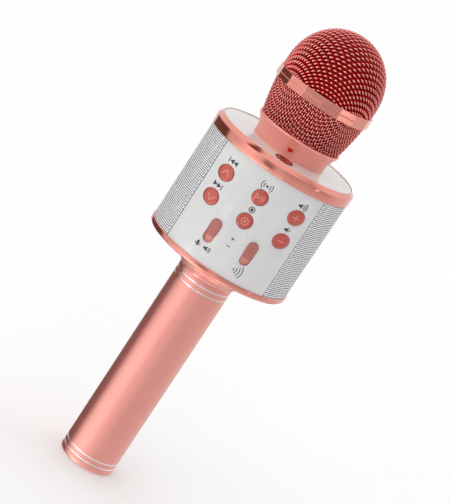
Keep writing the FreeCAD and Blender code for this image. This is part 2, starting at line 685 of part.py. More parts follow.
def shell_socket(kind, depth_end):
    """A folded metal socket shell, open towards the rear."""
    level = f"{kind}_level"
    outside = block(centred("0", f"{kind}_width"), ("port_board_back", depth_end),
                    centred(level, f"{kind}_height"))
    inside = block(centred("0", f"{kind}_width - 2 * {kind}_wall"),
                   (f"port_board_back + {kind}_wall", depth_end),
                   centred(level, f"{kind}_height - 2 * {kind}_wall"))
    return cut(outside, inside)


def make_ports():
    """The board behind the rear panel, and its four sockets."""
    board = block(centred("0", "port_board_width"), ("port_board_front", "port_board_back"),
                  ("port_board_foot", "port_board_head"))
    holes = [rod("screw_radius + 0.1", "port_board_front", "port_board_back", x=x, z=z, along="y")
             for x, z in REAR_BOSSES]
    sub_part(cut(board, *holes), "port_board")
    top = "usb_level + usb_height / 2 - usb_wall"
    tongue = block(centred("0", "usb_width - 4 * usb_wall"),
                   ("port_board_back + usb_wall", "port_mouth - 2"),
                   (f"{top} - usb_tongue", top))
    sub_part(join(shell_socket("usb", "port_mouth"), tongue), "usb_socket")
    sub_part(shell_socket("card", "port_mouth"), "card_slot")
    sub_part(shell_socket("charge", "port_mouth"), "charge_socket")
    level = "jack_level"
    body = block(centred("0", "jack_block"), ("port_board_back", "panel_radius - panel_wall - 1"),
                 centred(level, "jack_block"))
    nose = rod("jack_nose", "panel_radius - panel_wall - 1", "port_mouth", z=level, along="y")
    bore = rod("jack_bore", "port_mouth - jack_depth", "port_mouth", z=level, along="y")
    sub_part(cut(join(body, nose), bore), "audio_jack")


def screw(x, y, z, way, length):
    """One screw: the head lies on the side that way points to, its seat at the given place."""
    if way == "up":
        return join(rod("screw_head", z, f"{z} + screw_head_height", x, y),
                    rod("screw_radius", f"{z} - ({length})", z, x, y))
    if way == "down":
        return join(rod("screw_head", f"{z} - screw_head_height", z, x, y),
                    rod("screw_radius", z, f"{z} + ({length})", x, y))
    ahead = way == "rear"
    head = (y, f"{y} + screw_head_height") if ahead else (f"{y} - screw_head_height", y)
    shank = (f"{y} - ({length})", y) if ahead else (y, f"{y} + ({length})")
    return join(rod("screw_head", *head, x=x, z=z, along="y"),
                rod("screw_radius", *shank, x=x, z=z, along="y"))


def make_screws():
    """The screws, one group for each size and job."""
    handle = [screw(x, y, "low_disc_top", "up", "plate_thickness + screw_length - 1")
              for x, y in HANDLE_SCREWS]
    sub_part(join(*handle), "handle_screws")
    base = [screw(x, y, "drum_low + screw_head_height", "down",
                  "plate_thickness - screw_head_height + hoop_height")
            for x, y in BASE_SCREWS]
    sub_part(join(*base), "base_screws")
    length = "board_thickness + screw_length - 1"
    front = [screw(x, "-board_back", z, "rear", length) for x, z in FRONT_BOSSES]
    rear = [screw(x, "port_board_front", z, "front", length) for x, z in REAR_BOSSES]
    sub_part(join(*front, *rear), "board_screws")


def make_neck():
    """The flared collar over the drum, the insert that carries the head, and the capsule."""
    collar = turned("neck_body", [
        ("insert_radius + seat_gap", "plate_top"),
        ("neck_radius", "plate_top", "right", "neck_curve"),
        ("neck_lip", "neck_top - neck_lip_height"), ("neck_lip", "neck_top"),
        ("insert_radius + seat_gap", "neck_top")])
    lens_level = "plate_top + lens_up"
    hole = rod("lens_radius + seat_gap", "-neck_lip", "-insert_radius", z=lens_level, along="y")
    sub_part(cut(collar, hole), "neck_collar")
    sub_part(rod("lens_radius", "-lens_seat - lens_length", "-lens_seat", z=lens_level, along="y"),
             "indicator_lens")
    sub_part(turned("insert_body", [
        ("insert_bore", "plate_under - 2"), ("insert_flange", "plate_under - 2"),
        ("insert_flange", "plate_under"), ("insert_radius", "plate_under"),
        ("insert_radius", "insert_top"), ("insert_bore", "insert_top")]), "neck_insert")
    holder_top = "insert_top + holder_height"
    sub_part(cut(rod("insert_radius", "insert_top", holder_top),
                 rod("capsule_radius + seat_gap", f"{holder_top} - capsule_seat", holder_top)),
             "capsule_holder")
    sub_part(rod("capsule_radius", f"{holder_top} - capsule_seat",
                 f"{holder_top} - capsule_seat + capsule_height"), "mic_capsule")


def crown(radius, rise, foot, low):
    """A solid dome: a straight skirt from low to foot, then a quarter turn of a cubic curve."""
    full = measure("dome_fullness")
    curve = Part.BezierCurve()
    curve.setPoles([Vector(radius, 0, foot), Vector(radius, 0, foot + full * rise),
                    Vector(full * radius, 0, foot + rise), Vector(0, 0, foot + rise)])
    corners = [Vector(0, 0, foot + rise), Vector(0, 0, low), Vector(radius, 0, low),
               Vector(radius, 0, foot)]
    sides = [Part.makeLine(first, last) for first, last in zip(corners, corners[1:])]
    outline = Part.Wire([curve.toShape()] + sides)
    return Part.Face(outline).revolve(Vector(), Vector(0, 0, 1), 360)


def shaped(label, shape):
    """Add a sub-part whose shape is worked out here."""
    part = doc.addObject("Part::Feature", label + "_shape")
    part.Shape = shape
    return sub_part(part, label)


def make_head():
    """The head that unscrews: two woven grilles, the faceted band, the screw ring and the foam."""
    wall = measure("mesh_thickness")
    radius, rise = measure("dome_radius"), measure("dome_rise")
    foot, low = measure("crown_low"), measure("band_top")
    outer = crown(radius, rise, foot, low)
    shaped("upper_grille", outer.cut(crown(radius - wall, rise - wall, foot, low)))
    sub_part(turned("lower_grille_body", [
        ("cup_low_radius - mesh_thickness", "head_low"),
        ("cup_low_radius", "head_low", "left", "cup_curve"), ("cup_high_radius", "band_low"),
        ("cup_high_radius - mesh_thickness", "band_low", "right", "cup_curve - mesh_thickness")]),
        "lower_grille")
    prism = add("Part::Prism", None, Circumradius="band_radius", Height="band_height")
    prism.Polygon = 16
    place(prism, "0", "0", "band_low")
    line_low = "(band_low + band_top - band_line) / 2"
    line = tube("band_radius + 1", "band_radius * cos(11.25) - band_line_depth", line_low,
                f"{line_low} + band_line")
    sub_part(cut(prism, rod("band_inner", "band_low", "band_top"), line), "grille_band")
    sub_part(tube("head_inner", "insert_radius + slide_gap", "head_low",
                  "head_low + collar_ring_height"), "screw_ring")
    gap, foam = measure("foam_gap"), measure("foam_thickness")
    inset = wall + gap
    foam_low = measure("head_low + foam_low")
    sleeve = measure("band_inner") - gap
    skin = crown(sleeve, rise - inset, foot, foam_low)
    hollow = crown(sleeve - foam, rise - inset - foam, foot, foam_low)
    bell = Part.makeCone(measure("cup_low_radius") - inset, sleeve,
                         measure("band_low - head_low"), Vector(0, 0, measure("head_low")))
    tall = Part.makeCylinder(sleeve, measure("dome_rise + 2 * band_height + dome_skirt"),
                             Vector(0, 0, measure("band_low")))
    shaped("foam_liner", skin.common(bell.fuse(tall)).cut(hollow))


def lead(points, radius, bend):
    """A lead along straight runs joined by tangent arcs of one radius."""
    edges = []
    start = points[0]
    for before, corner, after in zip(points, points[1:], points[2:]):
        come, leave = (corner - before).normalize(), (after - corner).normalize()
        turn = come.getAngle(leave)
        reach = bend * math.tan(turn / 2)
        first, last = corner - come * reach, corner + leave * reach
        inward = (leave - come).normalize()
        middle = corner + inward * (bend / math.cos(turn / 2) - bend)
        edges += [Part.makeLine(start, first), Part.Arc(first, middle, last).toShape()]
        start = last
    edges.append(Part.makeLine(start, points[-1]))
    path = Part.Wire(edges)
    ring = Part.Wire(Part.makeCircle(radius, points[0], points[1] - points[0]))
    return path.makePipeShell([ring], True, False)


def make_leads():
    """The leads that run inside: two from the battery to the board and one from the capsule."""
    radius, bend = measure("lead_radius"), measure("lead_radius * lead_bend")
    clear = measure("lead_gap + lead_radius")
    beside_board = clear - measure("board_back")
    low, high = measure("board_foot"), measure("board_head")
    in_collar = clear - measure("lead_bore")
    start = measure("cell_top + 2 * cradle_end")
    pair = [lead([Vector(x, in_collar, start), Vector(x, in_collar, low - bend / 2),
                  Vector(x, beside_board, low + bend), Vector(x, beside_board, low + 3 * bend)],
                 radius, bend)
            for x in (-bend / 2, bend / 2)]
    shaped("battery_leads", Part.makeCompound(pair))
    in_neck = clear - measure("insert_bore")
    route = [Vector(0, in_neck, measure("insert_top")), Vector(0, in_neck, high + 2 * bend),
             Vector(0, beside_board, high - bend), Vector(0, beside_board, high - 3 * bend)]
    shaped("mic_lead", lead(route, radius, bend))


def check_document():
    """Stop if any object failed, or if a sub-part has no sound shape."""
    for item in doc.Objects:
        if "Invalid" in item.State or "Error" in item.State:
            raise RuntimeError(f"{item.Label} did not recompute: {item.State}")
    for part in finished:
        if part.Shape.isNull() or not part.Shape.isValid() or not part.Shape.Solids:
            raise RuntimeError(f"{part.Label} has no valid solid")


def write_parts():
    """Write each sub-part to its own file."""
    os.makedirs("parts", exist_ok=True)
    for part in finished:
        part.Shape.exportStep(f"parts/{part.Label}.step")
        print(f"{part.Label}: {len(part.Shape.Solids)} solid(s), {part.Shape.Volume:.1f} mm3")


make_handle()
make_battery()
make_discs_and_rims()
make_walls()
make_chassis()
make_speakers()
make_control_board()
make_buttons()
make_sliders()
make_power_button()
make_ports()
make_screws()
make_neck()
make_head()
make_leads()
doc.recompute()
check_document()
write_parts()
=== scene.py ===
# %% [markdown]
# # A toy microphone, built from surfaces
# This lesson dresses a finished mechanical model: a rose-gold karaoke toy with a woven wire head, a
# round drum full of buttons, and a battery handle. The frame already holds every size and every
# moving part, so each new surface here takes its place from a part of that frame.
# The order is: helpers, paints and metals, then the pieces from the handle up, then light and camera.

# %% Load the frame
import json
import math

import bmesh
import bpy
import numpy as np
from mathutils import Matrix, Vector


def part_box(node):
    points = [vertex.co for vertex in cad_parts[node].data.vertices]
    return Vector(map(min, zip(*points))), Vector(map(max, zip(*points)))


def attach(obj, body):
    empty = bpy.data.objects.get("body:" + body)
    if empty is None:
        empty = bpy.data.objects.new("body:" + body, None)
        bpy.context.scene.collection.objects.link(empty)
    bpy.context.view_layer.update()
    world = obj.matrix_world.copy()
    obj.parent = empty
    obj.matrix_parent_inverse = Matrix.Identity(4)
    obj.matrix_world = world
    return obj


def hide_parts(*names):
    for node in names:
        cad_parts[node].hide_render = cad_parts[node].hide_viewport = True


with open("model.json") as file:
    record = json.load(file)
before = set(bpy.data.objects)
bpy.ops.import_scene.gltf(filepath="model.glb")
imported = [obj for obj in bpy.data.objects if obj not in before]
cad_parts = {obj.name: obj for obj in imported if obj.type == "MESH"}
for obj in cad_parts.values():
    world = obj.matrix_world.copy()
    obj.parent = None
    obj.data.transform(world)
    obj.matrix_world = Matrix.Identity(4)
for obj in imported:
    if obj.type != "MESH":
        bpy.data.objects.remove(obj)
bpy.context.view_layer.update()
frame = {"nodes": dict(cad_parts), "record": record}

MM = 0.001

# %% [markdown]
# ## Sizes that come from the frame
# A designer's model has one place for each size. Here that place is the frame: the height of a rim
# is the height of its part. `low` and `high` give a part's lowest and highest corner in millimetres,
# which is the unit that this lesson draws in. Only the mesh itself is in metres.

# %% Read the main levels and radii


def low(node):
    """The lowest corner of a part, in millimetres."""
    return np.array(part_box(node)[0]) / MM


def high(node):
    """The highest corner of a part, in millimetres."""
    return np.array(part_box(node)[1]) / MM


HANDLE_RADIUS = high("handle_tube")[0]
TUBE_LOW, TUBE_TOP = low("handle_tube")[2], high("handle_tube")[2]
DRUM_LOW, WALL_LOW = low("bottom_rim")[2], high("bottom_rim")[2]
WALL_TOP, DRUM_TOP = low("top_rim")[2], high("top_rim")[2]
RIM_RADIUS = high("top_rim")[0]
PLATE_RADIUS = high("top_plate")[0]
PLATE_TOP, PLATE_UNDER = high("top_plate")[2], low("top_plate")[2]
WALL_RADIUS = high("right_grille")[0]
NECK_TOP, NECK_LIP = high("neck_collar")[2], high("neck_collar")[0]
BAND_LOW, BAND_TOP = low("grille_band")[2], high("grille_band")[2]
BAND_RADIUS, DOME_RADIUS = high("grille_band")[0], high("upper_grille")[0]
HEAD_LOW, APEX = low("lower_grille")[2], high("upper_grille")[2]
CUP_TOP_RADIUS = high("lower_grille")[0]
print(f"drum {2 * RIM_RADIUS:.1f} mm wide, wall from {WALL_LOW:.1f} to {WALL_TOP:.1f}, apex {APEX:.1f}")

# %% [markdown]
# ## From arrays to meshes
# Every new piece is a grid of points: rows run along a profile and columns run around or across it.
# Working the whole grid out as one numpy array keeps the formula in sight, and one helper turns
# grids into a mesh. Faces are wound so that they point outwards: column direction times row
# direction. Where a row shrinks to a point, welding closes the pole.

# %% Grids, welding and finishing


def grid_faces(rows, columns, wrap_rows=False, wrap_columns=False, flip=False):
    """Four corners for each cell of a grid, numbered row by row, joined up where it wraps round."""
    i = np.arange(rows if wrap_rows else rows - 1)[:, None]
    j = np.arange(columns if wrap_columns else columns - 1)[None, :]
    beside, above = (j + 1) % columns, (i + 1) % rows
    corners = [i * columns + j, i * columns + beside, above * columns + beside, above * columns + j]
    faces = np.stack(np.broadcast_arrays(*corners), -1).reshape(-1, 4)
    return faces[:, ::-1] if flip else faces


def finish_mesh(name, points, faces, sharp=35.0, weld=True, second_from=None):
    """Make one object from points in millimetres and lists of faces, smooth except at sharp edges.

    Faces from number second_from on will take the piece's second finish.
    """
    mesh = bpy.data.meshes.new(name)
    mesh.from_pydata((np.asarray(points).reshape(-1, 3) * MM).tolist(), [],
                     [list(face) for face in faces])
    if second_from is not None:
        second = np.arange(len(mesh.polygons)) >= second_from
        mesh.polygons.foreach_set("material_index", second.astype(np.int32))
    if weld:
        work = bmesh.new()
        work.from_mesh(mesh)
        bmesh.ops.remove_doubles(work, verts=work.verts, dist=0.001 * MM)
        work.to_mesh(mesh)
        work.free()
    mesh.polygons.foreach_set("use_smooth", np.ones(len(mesh.polygons), bool))
    mesh.set_sharp_from_angle(angle=math.radians(sharp))
    mesh.update()
    piece = bpy.data.objects.new(name, mesh)
    bpy.context.scene.collection.objects.link(piece)
    return piece


def merge(parts):
    """Put several (points, faces) shapes into one, moving each one's face numbers past the last."""
    points, faces, start = [], [], 0
    for shape, cells in parts:
        shape = np.asarray(shape).reshape(-1, 3)
        points.append(shape)
        faces += [[int(index) + start for index in cell] for cell in cells]
        start += len(shape)
    return np.concatenate(points), faces


print("a closed grid of 3 rows and 8 columns has", len(grid_faces(3, 8, True, True)), "faces")

# %% [markdown]
# ## Outlines with rounded corners
# Moulded and turned parts have no perfectly sharp edge: the small radius is what catches the light.
# An outline is a list of corners, each with its own radius, and the helper replaces each corner by
# an arc. A second helper bends a side of the outline into one large arc.

# %% Rounded corners and bent sides


def rounded(corners, steps=5):
    """Replace each corner (across, up, radius) by an arc that touches both of its edges.

    The arc starts radius / tan(half the corner's angle) before the corner and ends as far after it.
    """
    places = np.array([corner[:2] for corner in corners], float)
    line = []
    for index, corner in enumerate(corners):
        radius = corner[2] if len(corner) > 2 else 0
        here, before, after = places[index], places[index - 1], places[(index + 1) % len(places)]
        if not radius:
            line.append(here)
            continue
        come, leave = before - here, after - here
        come, leave = come / np.linalg.norm(come), leave / np.linalg.norm(leave)
        half = math.acos(float(np.clip(come @ leave, -1, 1))) / 2
        reach = radius / math.tan(half)
        centre = here + (come + leave) / np.linalg.norm(come + leave) * radius / math.sin(half)
        first, last = here + come * reach - centre, here + leave * reach - centre
        turn = math.atan2(first[0] * last[1] - first[1] * last[0], first @ last)
        angles = np.linspace(0, turn, steps + 1)
        line += [centre + (first[0] * math.cos(a) - first[1] * math.sin(a),
                           first[0] * math.sin(a) + first[1] * math.cos(a)) for a in angles]
    return np.array(line)


def bend(start, end, radius, hollow, steps=10):
    """Points after start and before end on an arc, bulging left of the way unless it is hollow."""
    start, end = np.array(start, float), np.array(end, float)
    chord = end - start
    length = np.linalg.norm(chord)
    across = np.array([-chord[1], chord[0]]) / length
    rise = math.sqrt(radius ** 2 - length ** 2 / 4)
    centre = (start + end) / 2 + across * (-rise if hollow else rise)
    angles = np.unwrap([math.atan2(*(point - centre)[::-1]) for point in (start, end)])
    sweep = np.linspace(*angles, steps + 2)[1:-1]
    return [tuple(centre + radius * np.array([math.cos(a), math.sin(a)])) for a in sweep]


square = rounded([(0, 0, 1), (4, 0, 1), (4, 4, 1), (0, 4, 1)])
print("a rounded square has", len(square), "points")

# %% [markdown]
# ## Turned pieces
# Most of this toy is round about an upright axis, so most of its pieces are one outline of radius and
# height, carried round that axis. Each point of the outline becomes a ring, and the last ring joins
# the first, which closes the piece.

# %% Turning an outline


def turned(outline, sides=128, centre=(0, 0)):
    """Turn a closed outline of (radius, height) about an upright axis through centre."""
    outline = np.asarray(outline, float)
    angle = np.arange(sides) * 2 * math.pi / sides
    points = np.stack([
        centre[0] + outline[:, :1] * np.cos(angle),
        centre[1] + outline[:, :1] * np.sin(angle),
        np.broadcast_to(outline[:, 1:], (len(outline), sides))], -1)
    return points, grid_faces(len(outline), sides, wrap_rows=True, wrap_columns=True)


def turned_piece(name, outline, sides=128, centre=(0, 0), sharp=35.0):
    """A turned outline as one object."""
    points, faces = turned(outline, sides, centre)
    return finish_mesh(name, points, faces, sharp)


print("the square turned in 8 steps has", len(turned(square + (6, 0), 8)[1]), "faces")

# %% [markdown]
# ## Soft grain, shared by every finish
# Paint, plating and moulded plastic are never one flat value. This group mixes two colours and two
# roughness values by soft noise, and gives a fine height for a bump. It reads Object coordinates, so
# the grain keeps its real size on every piece.

# %% Node helpers and the soft grain


def add_node(tree, kind, **settings):
    """Add a shader node and set its properties, then its sockets by name or number."""
    node = tree.nodes.new("ShaderNode" + kind)
    for name, value in settings.pop("props", {}).items():
        setattr(node, name, value)
    for name, value in settings.items():
        node.inputs[int(name[1:]) if name[1:].isdigit() else name.replace("_", " ")].default_value = value
    return node


def new_group(name, inputs, outputs):
    """Start a shader node group with named sockets, and return it with its two end nodes."""
    group = bpy.data.node_groups.new(name, "ShaderNodeTree")
    for label, kind, value in inputs:
        socket = group.interface.new_socket(label, in_out="INPUT", socket_type="NodeSocket" + kind)
        if value is not None:
            socket.default_value = value
    for label, kind in outputs:
        group.interface.new_socket(label, in_out="OUTPUT", socket_type="NodeSocket" + kind)
    return group, group.nodes.new("NodeGroupInput"), group.nodes.new("NodeGroupOutput")


def soft_grain_group():
    """Two scales of noise: the broad one mixes colour and roughness, the fine one is a height."""
    group, ends_in, ends_out = new_group("soft grain", [
        ("Place", "Vector", None), ("Broad Scale", "Float", 60.0), ("Fine Scale", "Float", 2500.0),
        ("Colour Low", "Color", (0.5, 0.5, 0.5, 1)), ("Colour High", "Color", (0.6, 0.6, 0.6, 1)),
        ("Rough Low", "Float", 0.3), ("Rough High", "Float", 0.4)],
        [("Colour", "Color"), ("Roughness", "Float"), ("Height", "Float")])
    broad = add_node(group, "TexNoise", Detail=4.0, Roughness=0.55)
    fine = add_node(group, "TexNoise", Detail=2.0)
    spread = add_node(group, "MapRange", From_Min=0.3, From_Max=0.7)
    colour = add_node(group, "MixRGB")
    rough = add_node(group, "MapRange")
    links = group.links.new
    for noise, scale in ((broad, "Broad Scale"), (fine, "Fine Scale")):
        links(ends_in.outputs["Place"], noise.inputs["Vector"])
        links(ends_in.outputs[scale], noise.inputs["Scale"])
    links(broad.outputs["Fac"], spread.inputs["Value"])
    links(spread.outputs["Result"], colour.inputs["Fac"])
    links(ends_in.outputs["Colour Low"], colour.inputs["Color1"])
    links(ends_in.outputs["Colour High"], colour.inputs["Color2"])
    links(spread.outputs["Result"], rough.inputs["Value"])
    links(ends_in.outputs["Rough Low"], rough.inputs["To Min"])
    links(ends_in.outputs["Rough High"], rough.inputs["To Max"])
    links(colour.outputs["Color"], ends_out.inputs["Colour"])
    links(rough.outputs["Result"], ends_out.inputs["Roughness"])
    links(fine.outputs["Fac"], ends_out.inputs["Height"])
    return group


SOFT_GRAIN = soft_grain_group()
print("soft grain takes", [socket.name for socket in SOFT_GRAIN.interface.items_tree
                           if socket.in_out == "INPUT"])

# %% [markdown]
# ## Turning marks
# A lathe leaves fine lines round a piece. A wave would be too regular, so this second group
# stretches noise hard around the piece and gives it as a height.

# %% Turning marks


def turning_marks_group():
    """Noise squeezed along Z, so that its streaks run round an upright piece like a tool's path."""
    group, ends_in, ends_out = new_group("turning marks", [
        ("Place", "Vector", None), ("Pitch", "Float", 9000.0)], [("Height", "Float")])
    squeeze = add_node(group, "Mapping")
    squeeze.inputs["Scale"].default_value = (0.01, 0.01, 1.0)
    streak = add_node(group, "TexNoise", Detail=2.0)
    group.links.new(ends_in.outputs["Place"], squeeze.inputs["Vector"])
    group.links.new(squeeze.outputs["Vector"], streak.inputs["Vector"])
    group.links.new(ends_in.outputs["Pitch"], streak.inputs["Scale"])
    group.links.new(streak.outputs["Fac"], ends_out.inputs["Height"])
    return group


TURNING_MARKS = turning_marks_group()
print("groups:", [group.name for group in bpy.data.node_groups])

# %% [markdown]
# ## A recipe for a finish
# Each finish is a Principled shader that takes its colour, roughness and bump from the groups. What
# is the same all over, such as the metallic value or a clear coat, is set on the shader itself.

# %% The finish helper


def srgb(red, green, blue):
    """A colour picked as 0 to 255 display values, as the linear colour that a shader needs."""
    value = np.array([red, green, blue]) / 255
    linear = np.where(value <= 0.04045, value / 12.92, ((value + 0.055) / 1.055) ** 2.4)
    return (*linear.tolist(), 1.0)


def finish_of(name, dark, light, rough=(0.3, 0.4), metallic=0.0, broad=60.0, fine=2500.0, bump=0.02,
              marks=0.0, **plain):
    """A material: grain between two colours and two roughness values, a bump, and plain values."""
    material = bpy.data.materials.new(name)
    material.use_nodes = True
    tree = material.node_tree
    shader = tree.nodes["Principled BSDF"]
    shader.inputs["Metallic"].default_value = metallic
    for socket, value in plain.items():
        shader.inputs[socket.replace("_", " ")].default_value = value
    place = add_node(tree, "TexCoord")
    grain = add_node(tree, "Group", props={"node_tree": SOFT_GRAIN}, Broad_Scale=broad,
                     Fine_Scale=fine, Colour_Low=dark, Colour_High=light, Rough_Low=rough[0],
                     Rough_High=rough[1])
    tree.links.new(place.outputs["Object"], grain.inputs["Place"])
    tree.links.new(grain.outputs["Colour"], shader.inputs["Base Color"])
    tree.links.new(grain.outputs["Roughness"], shader.inputs["Roughness"])
    height = grain.outputs["Height"]
    if marks:
        lathe = add_node(tree, "Group", props={"node_tree": TURNING_MARKS})
        tree.links.new(place.outputs["Object"], lathe.inputs["Place"])
        blend = add_node(tree, "Math", props={"operation": "MULTIPLY_ADD"}, _1=marks)
        tree.links.new(lathe.outputs["Height"], blend.inputs[0])
        tree.links.new(height, blend.inputs[2])
        height = blend.outputs["Value"]
    relief = add_node(tree, "Bump", Strength=bump, Distance=0.0001)
    tree.links.new(height, relief.inputs["Height"])
    tree.links.new(relief.outputs["Normal"], shader.inputs["Normal"])
    return material


print("middle grey on a screen is", round(srgb(128, 128, 128)[0], 3), "in linear light")

# %% [markdown]
# ## The finishes of this microphone
# Rose gold comes in several kinds here. The handle is satin lacquer over metal, the rims and the band
# are polished plating, and the two collars are softer plating, which mirrors the studio less sharply.
# The buttons are a redder paint on plastic. The drum is gloss white plastic with white perforated
# sheet at its sides; the sheet's back and the walls of its holes are painted dark as shade. Inside are
# the usual blacks, greens and bright metals, which show through gaps and when the head comes off.

# %% Rose-gold, white, silver and the rest
ROSE_SATIN = finish_of("rose gold satin lacquer", srgb(226, 152, 142), srgb(231, 158, 148), (0.3, 0.35),
                       metallic=0.9, broad=35, bump=0.05, marks=0.6, Coat_Weight=0.1,
                       Coat_Roughness=0.3)
ROSE_GLOSS = finish_of("rose gold polished plating", srgb(217, 141, 128), srgb(222, 146, 133),
                       (0.07, 0.12), metallic=1.0, broad=45, bump=0.01)
ROSE_NECK = finish_of("rose gold soft plating", srgb(247, 158, 145), srgb(250, 164, 151),
                      (0.2, 0.24), metallic=0.25, broad=45, bump=0.01)
ROSE_COLLAR = finish_of("rose gold half gloss", srgb(226, 154, 143), srgb(231, 160, 149),
                        (0.2, 0.26), metallic=0.6, broad=45, bump=0.01)
ROSE_BUTTON = finish_of("rose painted buttons", srgb(186, 80, 68), srgb(193, 87, 75), (0.26, 0.34),
                        metallic=0.3, broad=150, fine=5000, bump=0.03, Coat_Weight=0.25,
                        Coat_Roughness=0.15)
ROSE_SIGN = finish_of("pale rose raised signs", srgb(222, 140, 128), srgb(228, 148, 136), (0.3, 0.4),
                      metallic=0.2, broad=200, fine=5000, bump=0.02)
ROSE_SLIDER = finish_of("rose painted sliders", srgb(178, 104, 95), srgb(184, 110, 101), (0.4, 0.48),
                        metallic=0.15, broad=150, fine=5000, bump=0.03)
# The skirts' rose is painted lighter than the knobs': painted light that offsets the shade in the slot.
SKIRT_PAINTED_LIGHT = finish_of("rose slider skirts, painted lighter", srgb(236, 156, 146), srgb(240, 162, 152),
                       (0.45, 0.55), broad=150, fine=5000, bump=0.03)
SILVER_CUT = finish_of("bright cut silver", srgb(205, 203, 204), srgb(232, 230, 231), (0.1, 0.18),
                       metallic=1.0, broad=120, bump=0.02)
WHITE_GLOSS = finish_of("gloss white plastic", srgb(214, 213, 213), srgb(218, 217, 217), (0.16, 0.22),
                        broad=30, fine=1800, bump=0.01, Coat_Weight=0.3, Coat_Roughness=0.08)
WHITE_SHEET = finish_of("white enamelled sheet", srgb(234, 234, 238), srgb(240, 240, 243),
                        (0.3, 0.4), broad=200, fine=4000, bump=0.02)
# Painted shade: the back of the sheet and the walls of its holes, where little light comes back out.
SHEET_SHADE = finish_of("painted shade behind the sheet", srgb(40, 40, 43), srgb(52, 52, 55), (0.6, 0.7),
                       broad=200, fine=4000, bump=0.02)
PRINT_GREY = finish_of("dark grey print", srgb(52, 52, 55), srgb(62, 62, 65), (0.5, 0.6), broad=400,
                       fine=6000, bump=0.02)
# The power ring's deep red and the cap's redder rose are painted reflection of dark red surroundings.
POWER_RED_REFLECTION = finish_of("deep red gloss as painted reflection", srgb(112, 16, 8), srgb(132, 22, 12), (0.1, 0.16),
                      metallic=0.6, broad=150, bump=0.01, Coat_Weight=0.5)
POWER_ROSE_REFLECTION = finish_of("polished rose cap reddened as painted reflection", srgb(206, 84, 66), srgb(216, 96, 78), (0.12, 0.2),
                       metallic=0.9, broad=150, bump=0.01)
LENS_RED = finish_of("red lens", srgb(184, 16, 6), srgb(200, 22, 9), (0.36, 0.42), broad=300,
                     bump=0.01, Specular_IOR_Level=0.3)
RED_MOULDED = finish_of("deep red moulded plastic", srgb(150, 10, 8), srgb(164, 16, 12), (0.5, 0.6),
                        broad=80, fine=3000, bump=0.05)
FOAM_RED = finish_of("open foam, deep red", srgb(196, 4, 4), srgb(220, 8, 6), (0.85, 0.95),
                     broad=500, fine=1500, bump=0.6)
BLACK_MOULDED = finish_of("black moulded plastic", srgb(24, 24, 25), srgb(34, 34, 35), (0.45, 0.6),
                          broad=80, fine=3000, bump=0.06)
BOARD_GREEN = finish_of("green circuit board", srgb(16, 74, 40), srgb(26, 92, 52), (0.25, 0.4),
                        broad=400, fine=3000, bump=0.05, Coat_Weight=0.3)
BARE_METAL = finish_of("plated steel", srgb(176, 177, 178), srgb(200, 201, 203), (0.22, 0.36),
                       metallic=1.0, broad=150, fine=5000, bump=0.04)
PAPER_BLACK = finish_of("speaker paper", srgb(22, 22, 22), srgb(36, 36, 35), (0.8, 0.9), broad=300,
                        fine=2500, bump=0.2)
BATTERY_BLUE = finish_of("battery wrap", srgb(38, 92, 140), srgb(46, 104, 154), (0.22, 0.32),
                         broad=50, bump=0.02, Coat_Weight=0.3)
LEAD_RED = finish_of("lead insulation", srgb(120, 16, 14), srgb(146, 22, 20), (0.4, 0.5), broad=200,
                     bump=0.03)
print("materials so far, with the frame's own:", len(bpy.data.materials))

# %% [markdown]
# Plated wire keeps its rose colour on its crests. The valleys, where two wires cross, are painted
# deep red: painted shade and painted reflection of the red foam. So the wire's colour runs from deep
# red to rose by one value that each wire carries, `crest_shade`: how high this point of the wire stands.

# %% The woven wire's finish


def wire_finish():
    """Grain as before, with painted shade: darkened towards deep red where the crest shade value is low.
    """
    material = finish_of("rose gold woven wire", srgb(240, 150, 143), srgb(248, 166, 158),
                         (0.2, 0.28), metallic=0.9, broad=300, fine=6000, bump=0.04)
    tree = material.node_tree
    shader = tree.nodes["Principled BSDF"]
    grain = shader.inputs["Base Color"].links[0].from_socket
    crest_shade = add_node(tree, "Attribute", props={"attribute_name": "crest_shade"})
    rise = add_node(tree, "MapRange", props={"interpolation_type": "SMOOTHSTEP"}, From_Min=0.48,
                    From_Max=0.98)
    # The deep red is painted shade and painted reflection of the red foam in the weave's valleys.
    blend = add_node(tree, "MixRGB", Color1=srgb(172, 2, 2))
    tree.links.new(crest_shade.outputs["Fac"], rise.inputs["Value"])
    tree.links.new(rise.outputs["Result"], blend.inputs["Fac"])
    tree.links.new(grain, blend.inputs["Color2"])
    tree.links.new(blend.outputs["Color"], shader.inputs["Base Color"])
    return material


ROSE_WIRE = wire_finish()
print("wire finish made:", ROSE_WIRE.name)

# %% [markdown]
# ## Dressing a piece
# A new piece stands for parts of the frame, so it says which ones it replaces and which body it rides
# on when a joint moves. One helper says all of that.

# %% The helper that dresses a piece


def dress(piece, material, body, slot, *nodes):
    """Give a new piece its finish and its body, and hide the parts it stands for. The slot is not used.
    """
    piece.data.materials.append(material)
    if nodes:
        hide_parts(*nodes)
    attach(piece, body)
    print(f"{piece.name}: {len(piece.data.polygons)} faces, rides on {body}")
    return piece


# %% [markdown]
# ## The handle tube
# A drawn tube, lacquered, with fine rings cut back to bright metal near both ends. It could be a
# cylinder with rings laid over it, but the cut is real, so the outline dips where the tool went and
# the faces in the dip take a second, silver material.

# %% Handle tube with bright-cut rings
GROOVE_WIDTH, GROOVE_DEPTH, GROOVE_PITCH, GROOVE_INSET = 0.7, 0.28, 3.0, 3.2
TUBE_WALL = 1.5
groove_lows = [TUBE_LOW + 0.05, TUBE_LOW + GROOVE_PITCH, TUBE_TOP - GROOVE_INSET - GROOVE_PITCH,
               TUBE_TOP - GROOVE_INSET]


